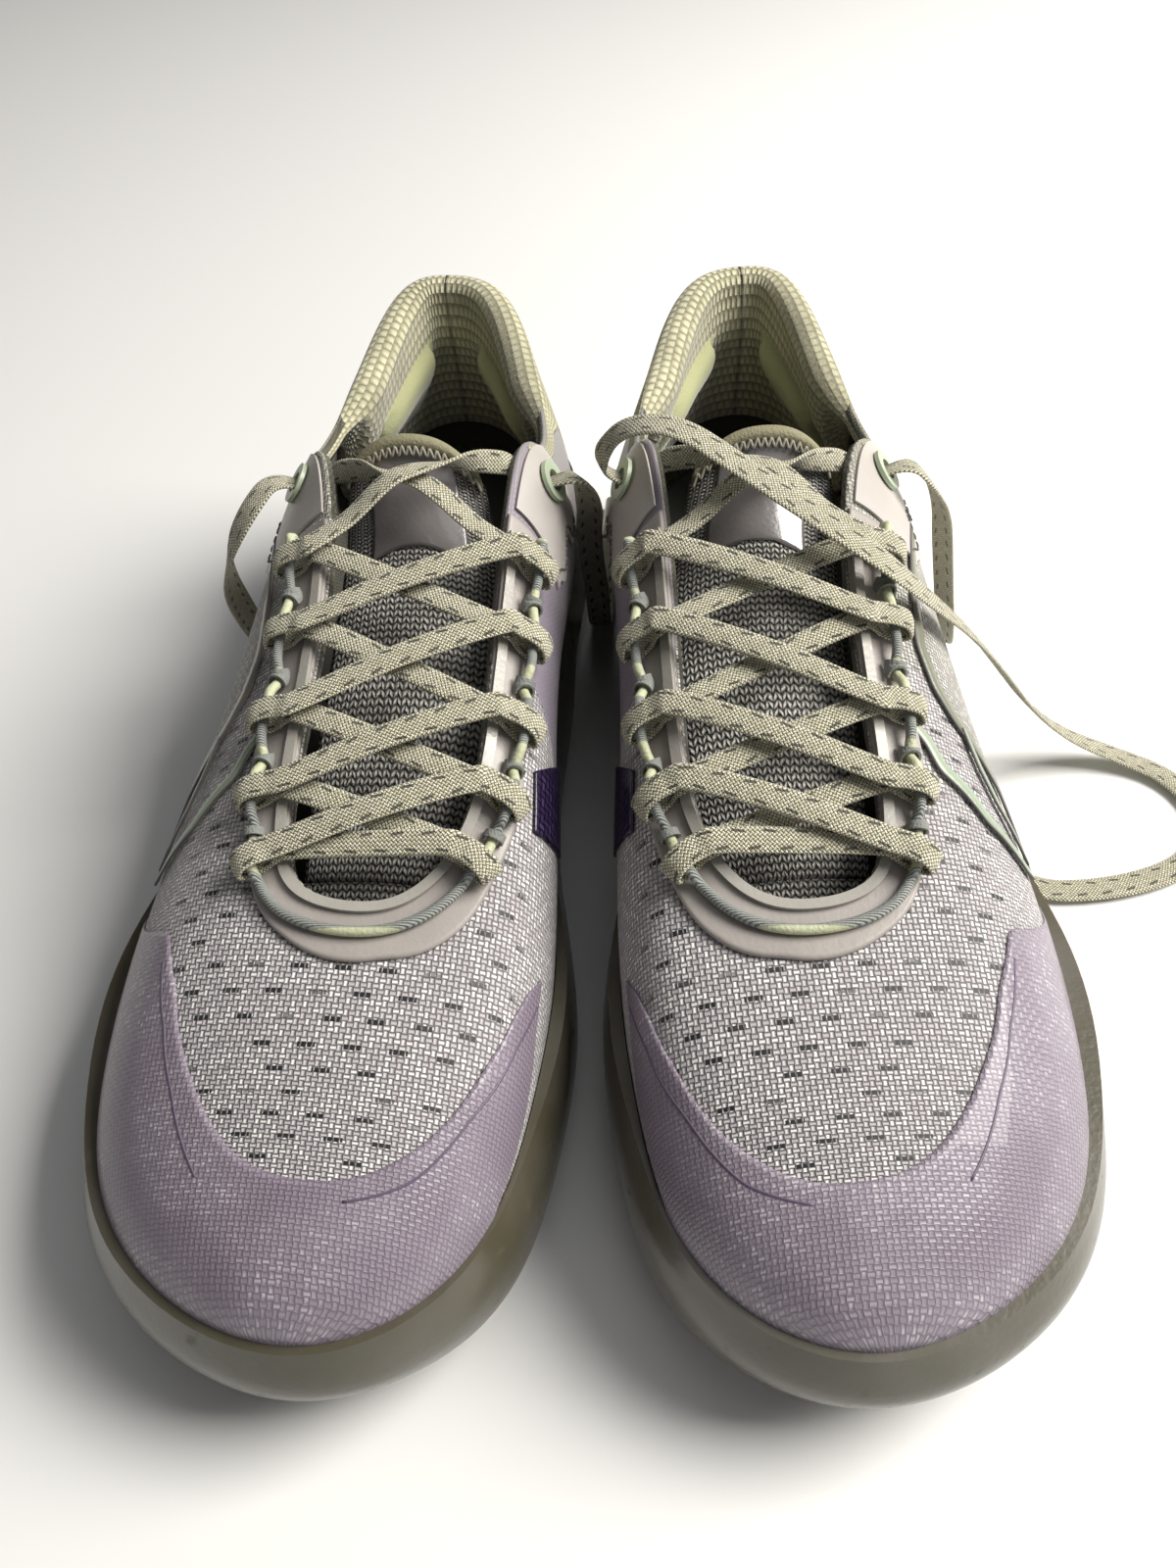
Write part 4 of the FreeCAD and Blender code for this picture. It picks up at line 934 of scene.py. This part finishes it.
def surface_line(controls, depth, count=60):
    """Points and face directions of a line drawn on the upper through (t, h) controls."""
    controls = np.array(controls, float)
    k = np.linspace(0, len(controls) - 1, count)
    t = np.interp(k, range(len(controls)), controls[:, 0])
    h = np.interp(k, range(len(controls)), controls[:, 1])
    for _ in range(4):
        t[1:-1] = (t[:-2] + 2 * t[1:-1] + t[2:]) / 4
        h[1:-1] = (h[:-2] + 2 * h[1:-1] + h[2:]) / 4
    return shell(t, h, depth), out_of_last(t, h)


def strip(name, shoe, side, points, ups, width, thickness, look, slot, *parts, around=8,
          rides="shoe"):
    rings, uv = ribbon_rings(points, ups, width, thickness, around)
    piece = mesh_object(shoe + "_" + name, own_to_pair(rings, side).reshape(-1, 3),
                        loft_faces(*rings.shape[:2], -side), M[look], uv.reshape(-1, 2))
    finish_piece(piece, shoe, slot, *parts, rides=rides)


# Thin darker lilac strips along the two creases in the toe film: painted shade of the folds.
def toe_creases(shoe, side):
    lines = ([(8.3, 0.61), (8.8, 0.60), (9.15, 0.555), (9.5, 0.475)],
             [(12.04, 0.44), (11.5, 0.50), (10.95, 0.515), (10.56, 0.48), (10.22, 0.49)])
    for index, line in enumerate(lines):
        points, ups = surface_line(line, 0.56)
        strip("toe_crease_%d" % index, shoe, side, points, ups, 0.55, 0.3, "crease", "toe_film")


EYESTAY_EDGE = np.array([(5.6, 0.865), (6.5, 0.865), (7.1, 0.84), (7.55, 0.85), (7.7, 0.895),
                         (7.95, 0.895), (8.15, 0.88), (9.3, 0.90), (10.3, 0.90), (11.3, 0.84),
                         (12.3, 0.80), (12.75, 0.79), (13.0, 0.85), (13.4, 0.87), (14.0, 0.855),
                         (14.4, 0.83)])
# across the film from the throat's edge: how far, in thirteenths, and how raised
EYESTAY_PROFILE = np.array([(0.0, -0.35), (0.25, 0.0), (0.8, 0.05), (2.2, 0.0), (4.5, -0.1),
                            (7.0, -0.1), (10.0, -0.05), (12.0, 0.05), (12.6, 0.0), (13.0, -0.45)])


def eyestay(shoe, side):
    marks, bevel = EYESTAY_PROFILE.T
    t, raised = np.meshgrid(np.linspace(5.62, ROUND - 5.62, 420), bevel, indexing="ij")
    h = 1 - (1 - eased(t, EYESTAY_EDGE)) * (marks / 13.0)
    points = shell(both_faces(t, t), both_faces(h, h),
                   both_faces(EYESTAY_TOP + raised, np.full(h.shape, OVERLAY_LOW)))
    piece = loft(shoe + "_eyestay_film", side, points, cloth_uv(points), M["eyestay"])
    finish_piece(piece, shoe, "eyestay_film", "eyestay")


BAND_LINES = (
    ([(5.05, 0.68), (5.95, 0.74), (6.3, 0.755), (6.52, 0.72), (6.62, 0.66), (6.65, 0.565),
      (6.67, 0.475), (6.82, 0.43), (7.05, 0.40)], 3.8, "band"),
    ([(6.6, 0.86), (6.94, 0.86), (7.02, 0.81), (7.15, 0.775), (7.17, 0.70), (7.22, 0.63),
      (7.2, 0.585), (7.15, 0.46), (7.06, 0.40)], 3.2, "band_edge"),
    ([(6.64, 0.64), (6.82, 0.60), (6.93, 0.55), (6.98, 0.48), (7.03, 0.42)], 2.2, "band_edge"))


def bands(shoe, side):
    """Narrow foil stripes down the lateral side, each with a thin dark front edge."""
    for k, (line, wide, look) in enumerate(BAND_LINES):
        points, ups = surface_line(line, 0.75 + 0.12 * k, 90)
        taper = 0.3 + 0.7 * np.sqrt(np.sin(np.linspace(0.05, math.pi - 0.05, len(points))))
        strip("band_%d" % k, shoe, side, points, ups, wide * taper, 0.7, look, "band_foil",
              "side_bands")
        across = unit(np.cross(unit(np.gradient(points, axis=0)), ups))
        forward_edge = -np.sign(across[:, 1].mean()) * across * (wide * taper / 2)[:, None]
        strip("band_line_%d" % k, shoe, side, points + forward_edge + 0.1 * ups, ups, 0.6, 0.6,
              "stitch_dark", "band_foil")


def badge(shoe, side):
    """Plain dark quadrilateral on the medial side."""
    a, b = grid((0, 1, 24), (0, 1, 30))
    t = (1 - b) * (13.2 + 0.4 * a) + b * (12.65 + 0.35 * a)
    h = (1 - b) * (0.42 + 0.08 * a) + b * (0.70 + 0.05 * a)
    piece = layer(shoe + "_badge_film", side, t, h, (OVERLAY_LOW, 0.9), M["badge"])
    finish_piece(piece, shoe, "badge_film", "medial_badge")


def stitches(name, shoe, side, points, ups, length, gap, width, look):
    """Row of short threads that follow a line."""
    marks = distances(points)
    verts = []
    faces = []
    place = gap / 2
    while place + length < marks[-1]:
        at = np.linspace(place, place + length, 5)
        centre = np.stack([np.interp(at, marks, points[:, i]) for i in range(3)], 1)
        face = unit(np.stack([np.interp(at, marks, ups[:, i]) for i in range(3)], 1))
        centre = centre + face * (np.sin(np.linspace(0, math.pi, 5)) * width * 0.35)[:, None]
        rings, _ = ribbon_rings(centre, face, width, width * 0.8, 6)
        faces += loft_faces(5, 6, -side, len(verts))
        verts += own_to_pair(rings, side).reshape(-1, 3).tolist()
        place += length + gap
    finish_piece(mesh_object(shoe + "_" + name, verts, faces, M[look]), shoe, "tack_thread")


def edge_stitches(shoe, side):
    t = np.linspace(6.6, ROUND - 6.6, 300)
    points = shell(t, level_from_edge(t, 0.05), 0.9)
    stitches("throat_stitches", shoe, side, points, out_of_last(t, 0.99 + 0 * t), 1.3, 1.1, 0.5,
             "stitch")
    for index, (t0, t1) in enumerate(((4.3, 5.5), (ROUND - 5.5, ROUND - 4.3))):
        a = np.linspace(0, 1, 60)
        t = t0 + (t1 - t0) * a
        h = 0.685 + 0.03 * np.cos(4 * math.pi * a)
        stitches("eyelet_stitches_%d" % index, shoe, side, shell(t, h, 0.95), out_of_last(t, h),
                 1.8, 0.7, 0.5, "stitch_dark")


# ==== tongue
TONGUE_LINE = np.array([(-57, 60.5), (-30, 70), (0, 79), (23, 88.5), (34, 96), (41, 106)], float)
TONGUE_HALF_WIDTHS = np.array([17, 20, 21, 20, 18.5, 16.5])
TONGUE_SAGS = np.array([2, 3, 5, 7, 8, 5], float)
TONGUE_CENTRES = np.array([-9, -9.5, -8.5, -6.5, -4, -3], float)


def through(values, k):
    """Value at k in 0..1 of a smooth curve through evenly spaced values."""
    padded = np.concatenate([[2 * values[0] - values[1]], values, [2 * values[-1] - values[-2]]])
    place = np.clip(k, 0, 1 - 1e-9) * (len(values) - 1)
    i = place.astype(int)
    u = place - i
    p0, p1, p2, p3 = (padded[i + j] for j in range(4))
    m0, m1 = (p2 - p0) / 2, (p3 - p1) / 2
    return hermite(u, p1, p2, m0, m1)


def tongue_centre(v):
    return np.stack([through(row, v) for row in (TONGUE_CENTRES, *TONGUE_LINE.T)], -1)


def tongue_point(u, v, d):
    u, v, d = np.broadcast_arrays(*(np.asarray(i, float) for i in (u, v, d)))
    along = tongue_centre(np.minimum(1, v + 0.01)) - tongue_centre(np.maximum(0, v - 0.01))
    along[..., 0] = 0
    along = unit(along)
    half = through(TONGUE_HALF_WIDTHS, v)
    sag = through(TONGUE_SAGS, v)
    lean = unit(np.stack([2 * sag * u / half, 0 * u, 1 + 0 * u], -1))
    rise = lean[..., 2]
    up = unit(np.stack([lean[..., 0], -along[..., 2] * rise, along[..., 1] * rise], -1))
    flat = np.stack([half * u, 0 * u, -sag * u * u], -1)
    return tongue_centre(v) + flat + up * d[..., None]


def tongue_end(u):
    return 0.985 - 0.10 * np.abs(u)**3


# millimetres of cloth for one step of u and of v
TONGUE_CLOTH = (19, 125)


def tongue_patch_of(shoe, side, name, u, v, low, high, look, slot, node):
    """Skin over the tongue: u and v are (n, m), low and high its depths."""
    points = both_faces(tongue_point(u, v, high), tongue_point(u, v, low))
    uv = np.stack([both_faces(u, u), both_faces(v, v)], -1) * TONGUE_CLOTH
    piece = loft("%s_%s" % (shoe, name), side, points, uv, M[look])
    return finish_piece(piece, shoe, slot, node, rides="tongue_body")


def tongue(shoe, side):
    v, u = grid((0, 1, 90), (1, -1, 40))
    height = v * tongue_end(u)
    edge = np.clip(1 - np.abs(u)**6, 0, 1) * np.clip(1 - v**24, 0, 1)
    ribs = 0.5 * np.sin(height * 60) * (height < 0.56)
    thick = 5.0 - 2.6 * u * u
    piece = tongue_patch_of(shoe, side, "tongue_knit", u, height, -thick * (0.5 + 0.5 * edge),
                            -0.9 * (1 - edge) + 0.12 * ribs, "tongue", "tongue_knit", "tongue")
    v, u = grid((0, 1, 40), (0.5, -0.5, 30))
    round_off = np.sqrt(np.clip(1 - (2 * np.abs(u))**5, 0, 1))
    puff = 0.45 * np.sin(math.pi * np.clip(u + 0.5, 0, 1)) * np.sin(math.pi * v)
    length = 0.58 + 0.36 * v - 0.03 * (2 * u)**2 - 0.02 * (1 - round_off) * v
    tongue_patch_of(shoe, side, "tongue_gloss", u * 1.15, length, 0.02 + 0 * u, 0.5 + puff, "gloss",
                    "tongue_gloss", "tongue_patch")
    v, u = grid((0, 1, 14), (0.9, -0.9, 50))
    roll = np.sin(math.pi * np.clip(v * 0.9 + 0.05, 0, 1))
    length = tongue_end(u) - 0.06 * (1 - v) + 0.006
    tongue_patch_of(shoe, side, "tongue_binding_tape", u, length, -2.6 * v**2 - 0.3,
                    0.5 + 1.1 * roll, "binding", "binding_tape", "tongue_binding")
    across = np.linspace(-0.86, 0.86, 260)
    zigzag = np.abs(((across * 11) % 1) - 0.5) * 2
    points = tongue_point(across, tongue_end(across) - 0.075 + 0.035 * zigzag, 1.5 + 0.2 * zigzag)
    ups = np.repeat([[0, -0.8, 0.6]], len(across), 0)
    strip("binding_zigzag", shoe, side, points, ups, 0.7, 0.6, "stitch", "tack_thread", around=6,
          rides="tongue_body")


def throat_net(shoe, side):
    """Knit that runs on from the tongue's foot to under the front of the throat."""
    v, u = grid((0, 1, 24), (-1, 1, 36))
    slope = unit(tongue_centre(0.04) - tongue_centre(0.0))
    slope[0] = 0
    ahead = (0.5 + 21 * v)[..., None] * slope
    top = tongue_point(1.12 * u, 0 * v, -0.6) - ahead
    points = both_faces(top, top - (0, 0, 1.4))
    uv = np.stack([both_faces(u, u), both_faces(v, v)], -1) * (TONGUE_CLOTH[0], -21)
    finish_piece(loft(shoe + "_throat_net", side, points, uv, M["tongue"]), shoe, "tongue_knit")


def insole_cover(shoe):
    """Cloth-covered insole, its edges rounded over."""
    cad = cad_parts[shoe + "_insole"]
    piece = add_object(shoe + "_insole_cover", cad.data.copy())
    piece.matrix_world = cad.matrix_world.copy()
    piece.data.materials.clear()
    piece.data.materials.append(M["insole"])
    bevel = piece.modifiers.new("rounded", "BEVEL")
    bevel.width = 0.0008
    bevel.segments = 2
    bevel.angle_limit = math.radians(40)
    finish_piece(piece, shoe, "insole_cloth", "insole", rides="insole_body")


# ==== laced part of the lace
LACE_LEVELS = [8.3, 7.55, 6.95, 6.4, 5.9]
CAD_LACE_THICKNESS = 1.1
LACE_CLEARANCE = 0.4
CABLE_RADIUS = 1.1
CABLE_GAP = 0.2
CABLE_LIFT = 2.4
RAIL_HEIGHT = 1.0
RAIL_TOP = EYESTAY_TOP + CABLE_GAP + RAIL_HEIGHT


def cable_depth(t):
    places = LACE_LEVELS + [ROUND - level for level in LACE_LEVELS]
    lift = max(math.exp(-((t - place) / 0.23)**6) for place in places)
    return EYESTAY_TOP + CABLE_GAP + CABLE_RADIUS + CABLE_LIFT * lift


def lace_hold(t, over, slack):
    """Points of one end of a crossing, from its fold to the throat's edge."""
    half = CAD_LACE_THICKNESS / 2
    under_depth = EYESTAY_TOP + LACE_CLEARANCE + half
    rail = RAIL_TOP + LACE_CLEARANCE + half
    over_depth = cable_depth(t) + CABLE_RADIUS + 0.3 + half
    other = rail + CAD_LACE_THICKNESS + 5 * LACE_CLEARANCE
    fold = (under_depth + over_depth) / 2
    if over:
        marks = [(9.7 + 0.35 * slack, fold + 1.3 + 0.2 * slack),
                 (8.0 + 0.2 * slack, over_depth + 0.2 * slack), (5.2, over_depth + 0.3),
                 (2.9, other + 0.4), (0.2, other + 0.7)]
    else:
        marks = [(9.7 + 0.35 * slack, fold - 1.3), (8.0 + 0.2 * slack, under_depth),
                 (5.2, under_depth + 0.1), (2.9, rail + 0.1), (0.2, rail + 0.9)]
    distance, depth = np.array(marks).T
    h = level_from_edge(t, distance)
    return shell(t, h, depth), out_of_last(np.full(5, t), h)


def eyelet_end(eyelet_side):
    """Points of the lace from behind its eyelet to over the throat's edge."""
    behind = -UPPER_THICKNESS - LACE_CLEARANCE - CAD_LACE_THICKNESS / 2
    t = EYELET_STATION + np.array([0, 0.25])
    if eyelet_side < 0:
        t = ROUND - t
    h = np.array([EYELET_LEVEL, 1.0])
    points = shell(t, h, np.array([behind, behind - 2.2]))
    points[1, 2] += 2.6
    ups = -out_of_last(t, h)
    ups[1] = unit(ups[1] + (0, 0, 0.5))
    return points, ups


# the lace's folds in order: their number from the front, negative on the medial side, whether
# the lace arrives over the cable, and how far it rises on its way there
FOLDS = ((5, True, 0.0), (-4, False, 0.6), (3, True, 1.8), (-2, False, 0.6), (1, True, 1.8),
         (-1, True, 0.4), (2, False, 0.6), (-3, True, 1.8), (4, False, 0.6), (-5, True, 1.8))


def lace_path(slacks):
    """The whole laced part as one line: its points and its face directions."""
    points, ups, sign = [], [], 1.0

    def add(some_points, some_ups):
        points.extend(some_points)
        ups.extend(np.array(some_ups) * sign)

    def fold(t, from_over, slack):
        h = level_from_edge(t, np.array([10.5, 8.0]) + 0.35 * slack)
        middle = (EYESTAY_TOP + cable_depth(t) + CABLE_RADIUS + 1.0) / 2 + 0.5
        there = shell(t, h, np.array([middle + 0.2 * slack, middle]))
        outward = unit(there[0] - there[1])
        add(there[:1], [outward if from_over else -outward])

    start, start_ups = eyelet_end(-1)
    first, first_ups = lace_hold(LACE_LEVELS[-1], True, slacks[-1])
    add([*start, (start[1] + first[-1]) / 2 + (0, 0, 8.0),
         start[1] * 0.2 + first[-1] * 0.8 + (0, 0, 2.0)],
        [*start_ups, (0, 0, 1), unit(first_ups[-1] + (0, 0, 1))])
    for count, (number, over, lift) in enumerate(FOLDS):
        level, slack = LACE_LEVELS[abs(number) - 1], slacks[abs(number) - 1]
        t = level if number > 0 else ROUND - level
        arriving, arriving_ups = lace_hold(t, over, slack)
        if count:
            middle = (last[-1] + arriving[-1]) / 2 + (0, 0, lift)
            add([middle], unit(last_ups[-1:] + arriving_ups[-1:]))
        add(arriving[::-1], arriving_ups[::-1])
        fold(t, over, slack)
        sign = -sign
        last, last_ups = lace_hold(t, not over, slack)
        add(last, last_ups)
    stop, stop_ups = eyelet_end(1)
    add([stop[1] * 0.2 + last[-1] * 0.8 + (0, 0, 1.9), (stop[1] + last[-1]) / 2 + (0, 0, 7.6),
         *stop[::-1]], [unit(last_ups[-1] + (0, 0, 1)), (0, 0, 1), *stop_ups[::-1]])
    return np.array(points), np.array(ups)


def smooth_path(points, ups, step):
    """Evenly spaced points of a smooth curve through the given ones."""
    marks = distances(points)
    rows = np.concatenate([points, ups], 1)
    low = np.maximum(np.arange(len(rows)) - 1, 0)
    high = np.minimum(np.arange(len(rows)) + 1, len(rows) - 1)
    slopes = (rows[high] - rows[low]) / (marks[high] - marks[low])[:, None]
    at = np.arange(0, marks[-1], step)
    i = np.clip(np.searchsorted(marks, at, side="right") - 1, 0, len(marks) - 2)
    span = (marks[i + 1] - marks[i])[:, None]
    u = (at[:, None] - marks[i][:, None]) / span
    values = hermite(u, rows[i], rows[i + 1], span * slopes[i], span * slopes[i + 1])
    return values[:, :3], unit(values[:, 3:])


def laced_part(shoe, side):
    slacks = [0.0, 0.3, 0.8, 1.8, 3.0] if side > 0 else [0.0, 0.2, 1.2, 1.4, 2.2]
    points, ups = smooth_path(*lace_path(slacks), 0.6)
    strip("laced_part", shoe, side, points, ups, 5.6, 1.15, "lace", "lace_cloth", "lace", around=12)


# node, where it starts and ends, its look and slot, how many sections, and its thickness
PANELS = (
    ("vamp", VAMP_START, VAMP_END, "vamp", "vamp_mesh", 160),
    ("lateral_quarter", LATERAL_START, VAMP_START, "lateral", "lateral_mesh", 90),
    ("medial_quarter", VAMP_END, MEDIAL_END, "medial", "medial_textile", 90),
    ("heel_quarter", MEDIAL_END, ROUND + LATERAL_START, "heel", "heel_textile", 110, 1.4),
)
for shoe, side in SHOES:
    for panel in PANELS:
        upper_panel(shoe, side, *panel)
    for build in (collar, ankle_cushions, toe_cap, toe_creases, eyestay, bands, badge,
                  edge_stitches, tongue, throat_net):
        build(shoe, side)
    insole_cover(shoe)
    laced_part(shoe, side)

# ==== floor and light
def stage_floor():
    bpy.ops.mesh.primitive_plane_add(size=6.0, location=(0, 0, -0.0006))
    floor = bpy.context.object
    floor.name = "floor"
    sh = Shader("floor_paint", roughness=0.9)
    paint = sh.mix(sh.noise(sh.place(), 3.0), (0.86, 0.86, 0.86), (0.88, 0.88, 0.88))
    floor.data.materials.append(sh.finish(paint))


def soft_light(name, place, aim, size, power, colour=(1, 1, 1)):
    data = bpy.data.lights.new(name, "AREA")
    data.size = size
    data.energy = power
    data.color = colour
    lamp = add_object(name, data)
    lamp.location = place
    direction = Matrix.Translation(aim).translation - lamp.location
    lamp.rotation_euler = direction.to_track_quat("-Z", "Y").to_euler()


stage_floor()
soft_light("window", (1.0, 0.1, 1.05), (0, 0, 0.03), 0.8, 35, (1.0, 0.97, 0.905))
soft_light("ceiling", (0.35, 0.1, 1.5), (0, 0, 0), 1.2, 3)
soft_light("front", (0.5, -1.1, 0.8), (0, 0, 0.03), 0.8, 1.2)
world = bpy.data.worlds.new("studio")
world.use_nodes = True
background = world.node_tree.nodes["Background"].inputs
background["Color"].default_value = (1, 1, 1, 1)
background["Strength"].default_value = 0.07
bpy.context.scene.world = world
bpy.context.scene.view_settings.view_transform = "Standard"
